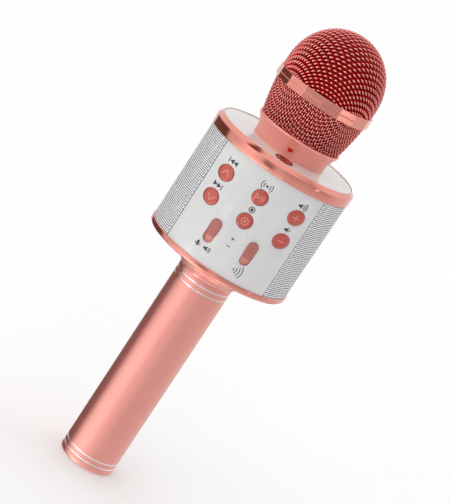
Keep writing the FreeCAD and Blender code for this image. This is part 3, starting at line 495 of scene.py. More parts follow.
def handle_outline():
    """Up the outside with a dip at each ring, and down the inside."""
    line = [(HANDLE_RADIUS - TUBE_WALL, TUBE_LOW), (HANDLE_RADIUS, TUBE_LOW)]
    for start in groove_lows:
        line += [(HANDLE_RADIUS, start), (HANDLE_RADIUS - GROOVE_DEPTH, start + GROOVE_WIDTH * 0.25),
                 (HANDLE_RADIUS - GROOVE_DEPTH, start + GROOVE_WIDTH * 0.75),
                 (HANDLE_RADIUS, start + GROOVE_WIDTH)]
    return line + [(HANDLE_RADIUS, TUBE_TOP, 0.1), (HANDLE_RADIUS - TUBE_WALL, TUBE_TOP)]


handle = turned_piece("handle_sleeve", rounded(handle_outline()), sides=160)
dress(handle, ROSE_SATIN, "root", "rose_satin", "handle_tube")
handle.data.materials.append(SILVER_CUT)
middles = np.empty(len(handle.data.polygons) * 3, np.float32)
handle.data.polygons.foreach_get("center", middles)
across, forward, height = middles.reshape(-1, 3).T / MM
reach = np.hypot(across, forward)
in_ring = np.zeros(len(height), bool)
for start in groove_lows:
    in_ring |= (height > start) & (height < start + GROOVE_WIDTH)
in_ring &= (reach < HANDLE_RADIUS - 0.02) & (reach > HANDLE_RADIUS - TUBE_WALL / 2)
handle.data.polygons.foreach_set("material_index", in_ring.astype(np.int32))
print("bright faces:", int(in_ring.sum()))

# %% [markdown]
# ## End cap and handle collar
# The cap is a moulded plug with a soft edge that the toy can stand on. The collar is half-gloss
# metal: it leaves the tube in a short flare and carries the drum. Both are turned outlines, and the
# flare is a true arc because a glossy surface shows every flat.

# %% End cap and handle collar
cap_low, cap_plug_top = low("end_cap")[2], high("end_cap")[2]
plug_radius = HANDLE_RADIUS - TUBE_WALL - 0.05
cap = turned_piece("end_cap_shell", rounded([
    (0, cap_low), (HANDLE_RADIUS, cap_low, 0.9), (HANDLE_RADIUS, TUBE_LOW, 0.15),
    (plug_radius, TUBE_LOW), (plug_radius, cap_plug_top, 0.3), (0, cap_plug_top)]))
dress(cap, ROSE_SATIN, "root", "rose_satin", "end_cap")

collar_low, collar_top = low("handle_collar")[2], high("handle_collar")[2]
COLLAR_FOOT = high("handle_collar")[0]
COLLAR_RADIUS, COLLAR_FLARE, COLLAR_CURVE, LEAD_BORE = 15.9, 1.6, 2.4, 11.4
flare_start, flare_end = (HANDLE_RADIUS, TUBE_TOP), (COLLAR_RADIUS, TUBE_TOP + COLLAR_FLARE)
collar = turned_piece("polished_handle_collar", rounded([
    (LEAD_BORE, collar_low), (plug_radius, collar_low), (plug_radius, TUBE_TOP), flare_start,
    *bend(flare_start, flare_end, COLLAR_CURVE, hollow=True), flare_end,
    (COLLAR_FOOT, collar_top), (LEAD_BORE, collar_top)]), sides=160, sharp=50)
dress(collar, ROSE_COLLAR, "root", "rose_gloss", "handle_collar")

# %% [markdown]
# ## The two rims of the drum
# Bright plated rings clamp the drum's wall between them. The top one has a broad bevel that leads
# up to the white disc, and the bottom one a narrow bevel underneath. Each has a ledge inside where
# its disc rests.

# %% Top and bottom rim
PLATE_SEAT, RIM_LEDGE = PLATE_RADIUS + 0.05, 1.8
TOP_BEVEL, BOTTOM_BEVEL, EDGE, TOP_EDGE = 2.1, 0.9, 0.3, 0.03
ledge = PLATE_SEAT - RIM_LEDGE
top_rim = turned_piece("top_rim_ring", rounded([
    (ledge, WALL_TOP), (RIM_RADIUS, WALL_TOP, EDGE), (RIM_RADIUS, DRUM_TOP - TOP_BEVEL, EDGE),
    (RIM_RADIUS - TOP_BEVEL, DRUM_TOP, TOP_EDGE), (PLATE_SEAT, DRUM_TOP), (PLATE_SEAT, PLATE_UNDER),
    (ledge, PLATE_UNDER)]), sides=192)
dress(top_rim, ROSE_GLOSS, "root", "rose_gloss", "top_rim")
disc_top = high("bottom_plate")[2]
bottom_rim = turned_piece("bottom_rim_ring", rounded([
    (PLATE_SEAT, DRUM_LOW), (RIM_RADIUS - BOTTOM_BEVEL, DRUM_LOW, 0.4),
    (RIM_RADIUS, DRUM_LOW + BOTTOM_BEVEL, 0.5), (RIM_RADIUS, WALL_LOW, EDGE), (ledge, WALL_LOW),
    (ledge, disc_top), (PLATE_SEAT, disc_top)]), sides=192)
dress(bottom_rim, ROSE_GLOSS, "root", "rose_gloss", "bottom_rim")

# %% [markdown]
# ## Shells and cutters
# The panels are moulded shells with clean round holes. Drawing the holes into the grid would tangle
# it, so the shell is a plain curved slab, and each opening is a bar that is taken away from it later:
# round for a button, with round ends for a slot, and a rounded rectangle for a socket.

# %% Curved shells and cutters


def wall_grid(radius, thickness, first, last, columns, bottom, top):
    """A closed curved slab: its outside, top, inside and bottom are four rows of one loop."""
    angle = np.radians(np.linspace(first, last, columns))
    reach = np.array([radius, radius, radius - thickness, radius - thickness])[:, None]
    level = np.broadcast_to(np.array([bottom, top, top, bottom])[:, None], (4, columns))
    points = np.stack([reach * np.cos(angle), reach * np.sin(angle), level], -1)
    start = np.arange(4) * columns
    faces = grid_faces(4, columns, wrap_rows=True).tolist()
    return points, faces + [start.tolist(), (start + columns - 1)[::-1].tolist()]


def pill_outline(half_spine, radius, count=48):
    """Points round a shape with round ends: a circle whose upper and lower halves stand apart."""
    angle = (np.arange(count) + 0.5) * 2 * math.pi / count
    return np.stack([radius * np.cos(angle),
                     radius * np.sin(angle) + half_spine * np.sign(np.sin(angle))], -1)


def block(outline, x, z, front, back):
    """A closed bar along Y: the outline about (x, z) at the front, and again at the back."""
    count = len(outline)
    points = np.empty((2, count, 3))
    points[..., 0], points[..., 2] = x + outline[:, 0], z + outline[:, 1]
    points[..., 1] = np.array([front, back])[:, None]
    faces = grid_faces(2, count, wrap_columns=True).tolist()
    return points, faces + [list(range(count)), list(range(count, 2 * count))[::-1]]


def through_block(x, z, half_spine, radius, front, back, count=48):
    """A bar along Y with round ends above and below, or a round one where the spine is 0."""
    return block(pill_outline(half_spine, radius, count), x, z, front, back)


def box_block(x, z, width, tall, front, back, corner=0.2):
    """A bar along Y with a rounded rectangle as its outline."""
    outline = rounded([(-width / 2, -tall / 2, corner), (width / 2, -tall / 2, corner),
                       (width / 2, tall / 2, corner), (-width / 2, tall / 2, corner)], steps=3)
    return block(outline, x, z, front, back)


print("a slot's cutter has", len(through_block(0, 0, 3.65, 2.55, -40, -10)[1]), "faces")

# %% [markdown]
# ## The punch
# A boolean takes the bars away from the shell, which needs both to be closed and to face outwards. A
# bevel then gives each edge the small radius of a mould. The result is read back as a plain mesh, so
# nothing is left to recompute.

# %% Punching holes


def face_outwards(piece):
    """Turn every face of a closed piece outwards, once its doubles are merged."""
    work = bmesh.new()
    work.from_mesh(piece.data)
    bmesh.ops.recalc_face_normals(work, faces=work.faces)
    work.to_mesh(piece.data)
    work.free()


def punched(name, shell, cutters, edge=0.12, sharp=40.0):
    """Take the cutters from the shell, round the edges, and keep the result as a plain mesh."""
    piece = finish_mesh(name, *shell)
    tool = finish_mesh(name + "_tool", *merge(cutters))
    for each in (piece, tool):
        face_outwards(each)
    cutting = piece.modifiers.new("cut", "BOOLEAN")
    cutting.operation, cutting.solver, cutting.object = "DIFFERENCE", "EXACT", tool
    if edge:
        soften = piece.modifiers.new("edge", "BEVEL")
        soften.width, soften.segments, soften.limit_method = edge * MM, 2, "ANGLE"
        soften.angle_limit = math.radians(sharp)
    view = bpy.context.evaluated_depsgraph_get()
    done = bpy.data.meshes.new_from_object(piece.evaluated_get(view))
    piece.modifiers.clear()
    piece.data = done
    bpy.data.objects.remove(tool)
    done.polygons.foreach_set("use_smooth", np.ones(len(done.polygons), bool))
    done.set_sharp_from_angle(angle=math.radians(sharp))
    print(f"{name}: openings cut: {len(cutters)}")
    return piece


# %% [markdown]
# ## The front panel
# A quarter of the drum's wall in gloss white, with a round hole for each button and a slot for each
# slider. Each hole stands where the frame has its button, a hair wider than the cap.

# %% Front panel
PANEL_WALL, SEAM, PANEL_COLUMNS = 1.7, 0.1, 97
CUT_OUTSIDE, CUT_FRONT, CUT_REAR = WALL_RADIUS + 3, 10, 20
BUTTON_RADIUS, HOLE_PLAY = 3.85, 0.1
SLOT_WIDTH, SLOT_LENGTH, KNOB_WIDTH, KNOB_LENGTH = 5.1, 12.4, 4.9, 8.3
BUTTONS = ["previous_button", "play_button", "volume_up_button", "next_button", "record_button",
           "volume_down_button"]
SLIDERS = ["mic_volume_slider", "echo_slider"]


def middle_of(node):
    """The middle of a part's box, in millimetres."""
    return (low(node) + high(node)) / 2


button_places = {name: middle_of(name)[[0, 2]] for name in BUTTONS}
SKIRT_OVERLAP = 0.8
SLOT_FOOT = low("mic_volume_slider")[2] + SKIRT_OVERLAP
slot_middle = SLOT_FOOT + SLOT_LENGTH / 2
slot_columns = {name: middle_of(name)[0] for name in SLIDERS}
cutters = [through_block(x, z, 0, BUTTON_RADIUS + HOLE_PLAY, -CUT_OUTSIDE, -CUT_FRONT, 64)
           for x, z in button_places.values()]
cutters += [through_block(x, slot_middle, (SLOT_LENGTH - SLOT_WIDTH) / 2, SLOT_WIDTH / 2,
                          -CUT_OUTSIDE, -CUT_FRONT, 64) for x in slot_columns.values()]
front = punched("front_panel_shell", wall_grid(WALL_RADIUS, PANEL_WALL, 225 + SEAM, 315 - SEAM,
                                               PANEL_COLUMNS, WALL_LOW, WALL_TOP), cutters)
dress(front, WHITE_GLOSS, "root", "white_panel", "front_panel")

# %% [markdown]
# ## The rear panel
# The same shell at the back, with openings for a memory stick, a memory card, the charging plug and
# the headphone plug. The metal sockets themselves are parts of the frame and show through.

# %% Rear panel
PORT_PLAY, JACK_NOSE = 0.15, 3.0


def port_cutter(node):
    """The opening round a socket, as large as the socket and a little play."""
    size = high(node) - low(node) + 2 * PORT_PLAY
    x, y, z = middle_of(node)
    return box_block(x, z, size[0], size[2], CUT_REAR, CUT_OUTSIDE)


jack_level = middle_of("audio_jack")[2]
openings = [port_cutter(node) for node in ("usb_socket", "card_slot", "charge_socket")]
openings.append(through_block(0, jack_level, 0, JACK_NOSE + PORT_PLAY, CUT_REAR, CUT_OUTSIDE))
rear = punched("rear_panel_shell", wall_grid(WALL_RADIUS, PANEL_WALL, 45 + SEAM, 135 - SEAM,
                                             PANEL_COLUMNS, WALL_LOW, WALL_TOP), openings)
dress(rear, WHITE_GLOSS, "root", "white_panel", "rear_panel")

# %% [markdown]
# ## Perforated side grilles
# The speakers sit behind thin sheet with about fifty rows of small staggered holes. A picture of
# holes would look flat from the side, so each hole is cut in the grid: the sheet is laid out as
# bricks, each brick has six corners on its border, and six corners of a hole are joined to them. The
# bricks share their borders, so the sheet is one closed mesh, front, back and hole walls. The back
# and the walls of the holes are painted dark, as painted shade: hardly any light comes back out of them.

# %% Perforated sheets
HOLE_PITCH, HOLE_ROW, HOLE_HALF_WIDTH, HOLE_HALF_HEIGHT = 1.12, 0.98, 0.52, 0.3
SHEET, SHEET_GAP = 0.3, 0.85


def perforated(middle):
    """A curved sheet of bricks: six border points and six hole points each, odd rows moved by half."""
    first, last = math.radians(middle - 45 + SHEET_GAP), math.radians(middle + 45 - SHEET_GAP)
    arc = (last - first) * WALL_RADIUS
    count, rows = round(arc / HOLE_PITCH), 2 * round((WALL_TOP - WALL_LOW) / HOLE_ROW / 2)
    wide, tall = arc / count, (WALL_TOP - WALL_LOW) / rows
    columns = 2 * count + 1
    border = np.stack(np.meshgrid(np.arange(columns) * wide / 2, np.arange(rows + 1) * tall), -1)
    row, cell = np.meshgrid(np.arange(rows), np.arange(count), indexing="ij")
    keep = (row % 2 == 0) | (cell < count - 1)
    row, start = row[keep], 2 * cell[keep] + row[keep] % 2
    corner = [(0, 0), (1, 0), (2, 0), (2, 1), (1, 1), (0, 1)]
    ring_in_border = np.stack([(row + up) * columns + start + right for right, up in corner], -1)
    turn = np.radians([210, 270, 330, 30, 90, 150])
    centre = np.stack([(start + 1) * wide / 2, (row + 0.5) * tall], -1)
    holes = centre[:, None] + np.stack([HOLE_HALF_WIDTH * np.cos(turn),
                                        HOLE_HALF_HEIGHT * np.sin(turn)], -1)
    flat = np.concatenate([border.reshape(-1, 2), holes.reshape(-1, 2)])
    ring = (rows + 1) * columns + np.arange(len(row) * 6).reshape(-1, 6)
    following = np.roll(np.arange(6), -1)
    face = np.stack([ring_in_border, ring_in_border[:, following], ring[:, following], ring],
                    -1).reshape(-1, 4)
    odd = np.arange(1, rows, 2)
    plain = np.concatenate([np.stack([odd * columns + side, odd * columns + side + 1,
                                      (odd + 1) * columns + side + 1, (odd + 1) * columns + side], -1)
                            for side in (0, columns - 2)])
    face = np.concatenate([face, plain])
    back = len(flat)
    wall = np.stack([ring, ring[:, following], ring[:, following] + back, ring + back],
                    -1).reshape(-1, 4)
    line = np.concatenate([np.arange(columns), np.arange(2, rows + 2) * columns - 1,
                           rows * columns + np.arange(columns - 1)[::-1],
                           np.arange(1, rows)[::-1] * columns])
    edge = np.stack([np.roll(line, -1), line, line + back, np.roll(line, -1) + back], -1)
    angle = first + flat[:, 0] / WALL_RADIUS
    layers = [np.stack([reach * np.cos(angle), reach * np.sin(angle), WALL_LOW + flat[:, 1]], -1)
              for reach in (WALL_RADIUS, WALL_RADIUS - SHEET)]
    faces = np.concatenate([face, edge, wall, face[:, ::-1] + back])
    print(f"{len(row)} holes in {rows} rows")
    # From here on the faces are the hole walls and the back, which take the painted shade.
    return np.concatenate(layers), faces, len(face) + len(edge)


for side, middle in (("left", 180), ("right", 0)):
    points, faces, shade_from = perforated(middle)
    sheet = finish_mesh(side + "_speaker_sheet", points, faces, weld=False, second_from=shade_from)
    dress(sheet, WHITE_SHEET, "root", "speaker_mesh", side + "_grille")
    sheet.data.materials.append(SHEET_SHADE)

# %% [markdown]
# ## The white top disc
# A glossy disc closes the drum round the neck. The power button comes up through it, so it is a
# turned outline with one hole punched near the front.

# %% Top disc
POWER_X, POWER_Y = middle_of("power_bezel")[:2]
POWER_RADIUS, POWER_PLAY, BEZEL_RADIUS = 4.0, 0.15, high("power_bezel")[0]
NECK_BORE = 16.45


def upright_block(x, y, radius, bottom, top, count=64):
    """A round cutter along Z."""
    return turned([(0, bottom), (radius, bottom), (radius, top), (0, top)], count, (x, y))


disc = turned(rounded([(NECK_BORE, PLATE_UNDER), (PLATE_RADIUS, PLATE_UNDER),
                       (PLATE_RADIUS, PLATE_TOP, 0.2), (NECK_BORE, PLATE_TOP)]), 192)
top_disc = punched("top_disc", disc, [upright_block(POWER_X, POWER_Y, POWER_RADIUS + POWER_PLAY,
                                                    PLATE_UNDER - 1, PLATE_TOP + 1)], edge=0)
dress(top_disc, WHITE_GLOSS, "root", "white_panel", "top_plate")

# %% [markdown]
# ## Power button and indicator
# The power button is a dished cap in a polished ring. Both are rose plating, and the ring's deep red
# and the cap's redder rose are painted reflection of dark red surroundings. The indicator is a small
# red lens let into the neck, with a thin flange that lies on it. Both are turned outlines: the lens is
# turned about an axis that points forwards, by swapping the axes of a turned shape.

# %% Power button, bezel and indicator lens
BEZEL_SINK, CAP_FLANGE, DISH_RIM, DISH_FLOOR, DISH_DEPTH = 0.4, 1.0, 1.1, 1.7, 0.7
bezel_top, cap_foot = high("power_bezel")[2], low("power_button")[2]
cap_top, flange_radius = high("power_button")[2], high("power_button")[0]
bezel_bore = POWER_RADIUS + POWER_PLAY
bezel = turned_piece("power_bezel_ring", rounded([
    (bezel_bore, PLATE_TOP - BEZEL_SINK), (BEZEL_RADIUS, PLATE_TOP - BEZEL_SINK),
    (BEZEL_RADIUS, bezel_top, 0.3), (bezel_bore, bezel_top, 0.2)]), 64, (POWER_X, POWER_Y))
dress(bezel, POWER_RED_REFLECTION, "root", "rose_gloss", "power_bezel")
power_cap = turned_piece("power_cap", rounded([
    (0, cap_foot), (flange_radius, cap_foot), (flange_radius, cap_foot + CAP_FLANGE),
    (POWER_RADIUS, cap_foot + CAP_FLANGE), (POWER_RADIUS, cap_top, 0.35),
    (POWER_RADIUS - DISH_RIM, cap_top, 0.3), (POWER_RADIUS - DISH_FLOOR, cap_top - 0.5, 0.3),
    (0, cap_top - DISH_DEPTH)]), 64, (POWER_X, POWER_Y))
dress(power_cap, POWER_ROSE_REFLECTION, "power_button", "power_red", "power_button")

lens_front, lens_back = -low("indicator_lens")[1], -high("indicator_lens")[1]
lens_level = middle_of("indicator_lens")[2]
LENS_RADIUS, LENS_FLANGE, FLANGE_THICK, LENS_RISE = high("indicator_lens")[0], 1.3, 0.25, 0.2
flange_back = lens_front - FLANGE_THICK
points, faces = turned(rounded([
    (0, lens_back), (LENS_RADIUS, lens_back), (LENS_RADIUS, flange_back), (LENS_FLANGE, flange_back),
    (LENS_FLANGE, lens_front, 0.1), (LENS_RADIUS, lens_front + 0.15, 0.3),
    (0, lens_front + LENS_RISE)]), 40)
lens_points = np.stack([points[..., 0], -points[..., 2], points[..., 1] + lens_level], -1)
lens = finish_mesh("indicator_lens_dome", lens_points, faces)
dress(lens, LENS_RED, "root", "lens_red", "indicator_lens")

# %% [markdown]
# ## The neck
# A softly plated collar grows out of the disc, narrow at its foot and flaring to a lip that the mesh
# sits on. The side is one hollow arc.

# %% Neck collar
NECK_FOOT, NECK_CURVE, LIP_HEIGHT = 18.9, 14.0, 0.9
neck_start, neck_end = (NECK_FOOT, PLATE_TOP), (NECK_LIP, NECK_TOP - LIP_HEIGHT)
neck = turned_piece("neck_flare", rounded([
    (NECK_BORE, PLATE_TOP), neck_start, *bend(neck_start, neck_end, NECK_CURVE, hollow=True),
    (*neck_end, 0.2), (NECK_LIP, NECK_TOP, 0.3), (NECK_BORE, NECK_TOP)]), sides=160, sharp=50)
dress(neck, ROSE_NECK, "root", "rose_gloss", "neck_collar")

# %% [markdown]
# ## Caps that follow the drum
# Buttons and knobs are pushed or slid straight, but their faces follow the drum. A cap is a set of
# rings: each ring is the round-ended outline at some distance from the middle, set back from the
# drum's surface by how much the edge has rounded off there. The rings go on down the side wall and
# close at the back.

# %% Caps


def drum_depth(x, radius):
    """How far forward the drum's surface stands at x: minus the root of radius squared less x squared."""
    return -np.sqrt(radius ** 2 - np.asarray(x) ** 2)


def cap_shape(x, z, half_spine, radius, face, back, edge, count=48):
    """Rings from the middle of the face to its edge, down the side, and to the middle of the back.

    The first and last rings shrink to the spine, where each point meets its mirror image.
    """
    turn = np.linspace(0, math.pi / 2, 6)
    reach = np.concatenate([np.linspace(0, radius - edge, 7)[:-1],
                            radius - edge + edge * np.sin(turn), [radius, 0]])
    sink = np.concatenate([np.zeros(6), edge * (1 - np.cos(turn)), [0, 0]])
    angle = (np.arange(count) + 0.5) * 2 * math.pi / count
    across = x + reach[:, None] * np.cos(angle)
    up = z + reach[:, None] * np.sin(angle) + half_spine * np.sign(np.sin(angle))
    depth = drum_depth(across, face) + sink[:, None]
    depth[-2:] = back
    return (np.stack([across, depth, up], -1),
            grid_faces(len(reach), count, wrap_columns=True, flip=True))


print("a cap's rings make", len(cap_shape(0, 0, 0, 4, 38, -26, 1)[1]), "faces")

# %% [markdown]
# ## Strokes that follow the drum
# Raised and printed signs are both strokes: a path on the drum, with a low flat ridge along it. The
# ridge's foot lies under the surface, so that no gap shows at its edge.

# %% Strokes


def stroke(path, width, face, lift, closed=False, sink=0.15):
    """A raised line on the drum: at each point of the path, four points across it.

    The two outer points lie under the surface and the two inner ones stand above it. At a corner the
    points spread along the mitre, by one over the cosine of half the turn.
    """
    path = np.asarray(path, float)
    ahead = (np.roll(path, -1, 0) - path) if closed else np.diff(path, axis=0)
    ahead /= np.linalg.norm(ahead, axis=1)[:, None]
    if closed:
        before = np.roll(ahead, 1, 0)
    else:
        before, ahead = np.vstack([ahead[:1], ahead]), np.vstack([ahead, ahead[-1:]])
    mitre = before + ahead
    mitre /= np.linalg.norm(mitre, axis=1)[:, None]
    spread = 1 / np.maximum(np.sum(mitre * ahead, 1), 0.35)
    side = np.stack([-mitre[:, 1], mitre[:, 0]], -1) * spread[:, None]
    offset = np.array([0.5, 0.36, -0.36, -0.5]) * width
    tall = np.array([-sink, lift, lift, -sink])
    place = path[:, None] + side[:, None] * offset[None, :, None]
    depth = drum_depth(place[..., 0], face) - tall
    points = np.stack([place[..., 0], depth, place[..., 1]], -1)
    faces = grid_faces(len(path), 4, wrap_rows=closed, wrap_columns=True).tolist()
    if not closed:
        last = (len(path) - 1) * 4
        faces += [[0, 1, 2, 3], [last + 3, last + 2, last + 1, last]]
    return points, faces


def ring_path(x, z, radius, first=0, last=360, count=24):
    """Points round a circle, or along a part of it."""
    whole = abs(last - first) >= 360
    angle = np.radians(np.linspace(first, last, count, endpoint=not whole))
    return np.stack([x + radius * np.cos(angle), z + radius * np.sin(angle)], -1)


print("a circle is a closed stroke of", len(ring_path(0, 0, 1)), "points")

# %% [markdown]
# ## Signs for the buttons
# Each cap carries one raised sign that any player knows: arrows for the last and next song, play and
# pause, a ring for record, plus and minus. A sign is a few strokes, given as corner points about the
# middle of the cap.

# %% The six push buttons
BUTTON_FACE = -low("play_button")[1]
FLANGE_FRONT, FLANGE_BACK, FLANGE_RADIUS, STEM_RADIUS = 25.8, 24.8, 4.6, 1.5
ARROW = np.array([(-1.75, -1.05), (0, 1.55), (1.75, -1.05)])
SIGNS = {
    "previous_button": [(ARROW, False)],
    "next_button": [(ARROW * (1, -1), False)],
    "play_button": [(np.array([(-2.1, 1.25), (-0.35, 0), (-2.1, -1.25)]), True),
                    (np.array([(0.65, 1.35), (0.65, -1.35)]), False),
                    (np.array([(1.75, 1.35), (1.75, -1.35)]), False)],
    "record_button": [(ring_path(0, 0, 1.65), True), (ring_path(0, 0, 0.5, count=12), True)],
    "volume_up_button": [(np.array([(-1.6, 0), (1.6, 0)]), False),
                         (np.array([(0, -1.6), (0, 1.6)]), False)],
    "volume_down_button": [(np.array([(-1.6, 0), (1.6, 0)]), False)],
}
SIGN_WIDTH, SIGN_LIFT, CAP_EDGE = 0.62, 0.2, 0.95


def button_shape(name):
    """The cap with the flange and stem behind it, and the strokes of its sign."""
    x, z = button_places[name]
    foot = high(name)[1]
    body = merge([cap_shape(x, z, 0, BUTTON_RADIUS, BUTTON_FACE, -FLANGE_FRONT, CAP_EDGE, 56),
                  through_block(x, z, 0, FLANGE_RADIUS, -FLANGE_FRONT, -FLANGE_BACK, 40),
                  through_block(x, z, 0, STEM_RADIUS, -FLANGE_BACK, foot, 24)])
    strokes = merge([stroke(path + (x, z), SIGN_WIDTH, BUTTON_FACE, SIGN_LIFT, closed)
                     for path, closed in SIGNS[name]])
    return body, strokes


for name in BUTTONS:
    body, strokes = button_shape(name)
    cap = finish_mesh(name + "_cap", *merge([body, strokes]), second_from=len(body[1]))
    dress(cap, ROSE_BUTTON, name, "rose_button", name)
    cap.data.materials.append(ROSE_SIGN)

# %% [markdown]
# ## The two sliders
# A slider is a knob on a curved skirt. The skirt is longer than the slot, so the slot never shows
# the inside, wherever the knob stands. A knob has a round edge all along.

# %% Sliders
KNOB_FACE, KNOB_BACK, KNOB_EDGE, LEVER = WALL_RADIUS + 1.2, 32.0, 0.6, 2
SKIRT, SKIRT_RADIUS, SKIRT_WIDTH = 0.8, WALL_RADIUS - PANEL_WALL - 0.15, 7.0


def skirt_shape(x, bottom, top):
    """A thin curved slab behind the panel, between two heights."""
    half = math.degrees(math.asin(SKIRT_WIDTH / 2 / SKIRT_RADIUS))
    middle = 270 + math.degrees(math.asin(x / SKIRT_RADIUS))
    return wall_grid(SKIRT_RADIUS, SKIRT, middle - half, middle + half, 13, bottom, top)


for name in SLIDERS:
    x = slot_columns[name]
    knob_head = SLOT_FOOT + SLOT_LENGTH - (SLOT_WIDTH - KNOB_WIDTH) / 2
    knob_middle = knob_head - KNOB_LENGTH / 2
    spine = (KNOB_LENGTH - KNOB_WIDTH) / 2
    knob = cap_shape(x, knob_middle, spine, KNOB_WIDTH / 2, KNOB_FACE, -KNOB_BACK, KNOB_EDGE, 56)
    body = merge([knob, box_block(x, knob_middle, LEVER, LEVER, -KNOB_BACK, high(name)[1])])
    skirt = skirt_shape(x, low(name)[2], high(name)[2])
    slider = finish_mesh(name + "_knob", *merge([body, skirt]), second_from=len(body[1]))
    dress(slider, ROSE_SLIDER, name, "rose_button", name)
    # The skirt's lighter rose is painted light against the shade behind the slot.
    slider.data.materials.append(SKIRT_PAINTED_LIGHT)

# %% [markdown]
# ## Signs that any player knows
# The panel has a small grey sign above each button and below each slider. Generic signs stand for
# words: skip arrows, radio waves, a record dot, loudspeakers, a microphone, echoes. Each is a list of
# strokes and solid outlines, drawn about its own middle.

# %% The shapes of the signs


def arrowhead(x, half, reach):
    """A solid triangle; a negative reach points left."""
    return np.array([(x, half), (x, -half), (x + reach, 0)] if reach > 0
                    else [(x, -half), (x, half), (x + reach, 0)])


def bars(*paths):
    """Strokes that aren't closed."""
    return [(np.array(path), False) for path in paths]


def speaker_sign(x, waves):
    """A small solid loudspeaker with arcs of sound."""
    horn = np.array([(-1.5, 0.5), (-1.5, -0.5), (-0.7, -0.5), (0.3, -1.3), (0.3, 1.3), (-0.7, 0.5)])
    return [horn + (x, 0)] + [(ring_path(x + 0.2, 0, 0.9 + 0.8 * wave, -50, 50, 9), False)
                              for wave in range(waves)]


def microphone_sign(x):
    """A small microphone: a solid round-ended body, a cradle and a stand."""
    return [pill_outline(0.45, 0.55, 16)[::-1] * (-1, 1) + (x, 0.45),
            (ring_path(x, 0.3, 1.15, 180, 360, 11), False), *bars([(x, -0.85), (x, -1.5)])]


def skip_sign(way):
    """Two solid arrowheads and a bar, pointing left or right."""
    heads = [arrowhead(-way * 2.4, 1.2, way * 2.0), arrowhead(-way * 0.4, 1.2, way * 2.0)]
    return heads + bars([(way * 2.0, 1.3), (way * 2.0, -1.3)])


def wave_sign():
    """A solid dot with two arcs of radio waves at each side."""
    arcs = [(ring_path(0, 0, reach, turn - 40, turn + 40, 9), False)
            for turn in (0, 180) for reach in (1.6, 2.8)]
    return [ring_path(0, 0, 0.6, count=14)] + arcs


PLUS = bars([(-0.85, 0), (0.85, 0)], [(0, -0.85), (0, 0.85)])
PRINTS = {
    "previous_button": skip_sign(-1), "next_button": skip_sign(1), "play_button": wave_sign(),
    "record_button": [(ring_path(0, 0, 1.35), True), ring_path(0, 0, 0.75, count=16)],
    "volume_up_button": speaker_sign(-0.8, 3), "volume_down_button": speaker_sign(-0.3, 1),
}
print("printed signs for", sorted(PRINTS))

# %% [markdown]
# ## Printing them on the panel
# The signs are ink, a twentieth of a millimetre thick, so they are strokes again, very low ones, and
# thin solid plates that follow the drum.

# %% Printed signs
INK_WIDTH, INK_LIFT, INK_SINK = 0.46, 0.05, 0.05
SIGN_ABOVE, SIGN_BELOW, ECHO_DROP = 6.1, 2.3, 1.2
PLUS_UP, MINUS_DOWN = 2.3, 1.7


def solid(outline):
    """A filled shape with an outline that runs anticlockwise as seen from the front."""
    count = len(outline)
    points = np.empty((2, count, 3))
    points[..., 0], points[..., 2] = outline[:, 0], outline[:, 1]
    points[..., 1] = drum_depth(outline[:, 0], WALL_RADIUS) - np.array([-INK_SINK, INK_LIFT])[:, None]
    faces = grid_faces(2, count, wrap_columns=True).tolist()
    return points, faces + [list(range(count))[::-1], list(range(count, 2 * count))]


def printed(signs, x, z):
    """The shapes of a sign about (x, z): a (path, closed) pair is a stroke, a bare outline is solid."""
    return [stroke(sign[0] + (x, z), INK_WIDTH, WALL_RADIUS, INK_LIFT, sign[1], INK_SINK)
            if isinstance(sign, tuple) else solid(sign + (x, z)) for sign in signs]


ink = []
for name, signs in PRINTS.items():
    ink += printed(signs, button_places[name][0], button_places[name][1] + SIGN_ABOVE)
mic_x, echo_x = slot_columns["mic_volume_slider"], slot_columns["echo_slider"]
below = SLOT_FOOT - SIGN_BELOW
ink += printed(microphone_sign(-2.6) + speaker_sign(2.2, 2), mic_x, below)
ink += printed([(ring_path(-3.2, 0, reach, -34, 34, 9), False) for reach in (1.2, 2.6, 4.0, 5.4)],
               echo_x, below - ECHO_DROP)
ink += printed(PLUS, 0, slot_middle + PLUS_UP)
ink += printed(PLUS[:1], 0, slot_middle - MINUS_DOWN)
signs = finish_mesh("printed_signs", *merge(ink))
dress(signs, PRINT_GREY, "root", "switch_plastic")

# %% [markdown]
# ## Woven wire
# The head is plain-woven wire pressed into shape. Pressing stretches a flat cloth over a dome, and a
# good picture of that is to lay the flat weave on a disc and wrap it: a point keeps its direction
# from the middle, and its distance from the middle becomes distance along the dome's profile.

# %% Profiles and wrapping
WIRE_INSET = 0.8
DOME_FULLNESS, DOME_STRAIGHT = 0.57, 3.7
crown_low = BAND_TOP + DOME_STRAIGHT


def crown_profile(radius, rise, foot, bottom, fullness, steps=240):
    """From the apex down a quarter turn of a cubic curve, then straight down to the bottom.

    The cubic's middle poles stand at `fullness` of the radius and of the rise.
    """
    t = np.linspace(0, 1, steps)[:, None]
    poles = np.array([(0, foot + rise), (fullness * radius, foot + rise),
                      (radius, foot + fullness * rise), (radius, foot)])
    weights = [(1 - t) ** 3, 3 * t * (1 - t) ** 2, 3 * t ** 2 * (1 - t), t ** 3]
    curve = sum(weight * pole for weight, pole in zip(weights, poles))
    straight = np.linspace(foot, bottom, 12)[1:, None]
    return np.vstack([curve, np.hstack([np.full_like(straight, radius), straight])])


def along(profile, start=0.0):
    """How far each point of a profile is from its first one, plus a start."""
    return start + np.concatenate([[0], np.cumsum(np.linalg.norm(np.diff(profile, axis=0), axis=1))])


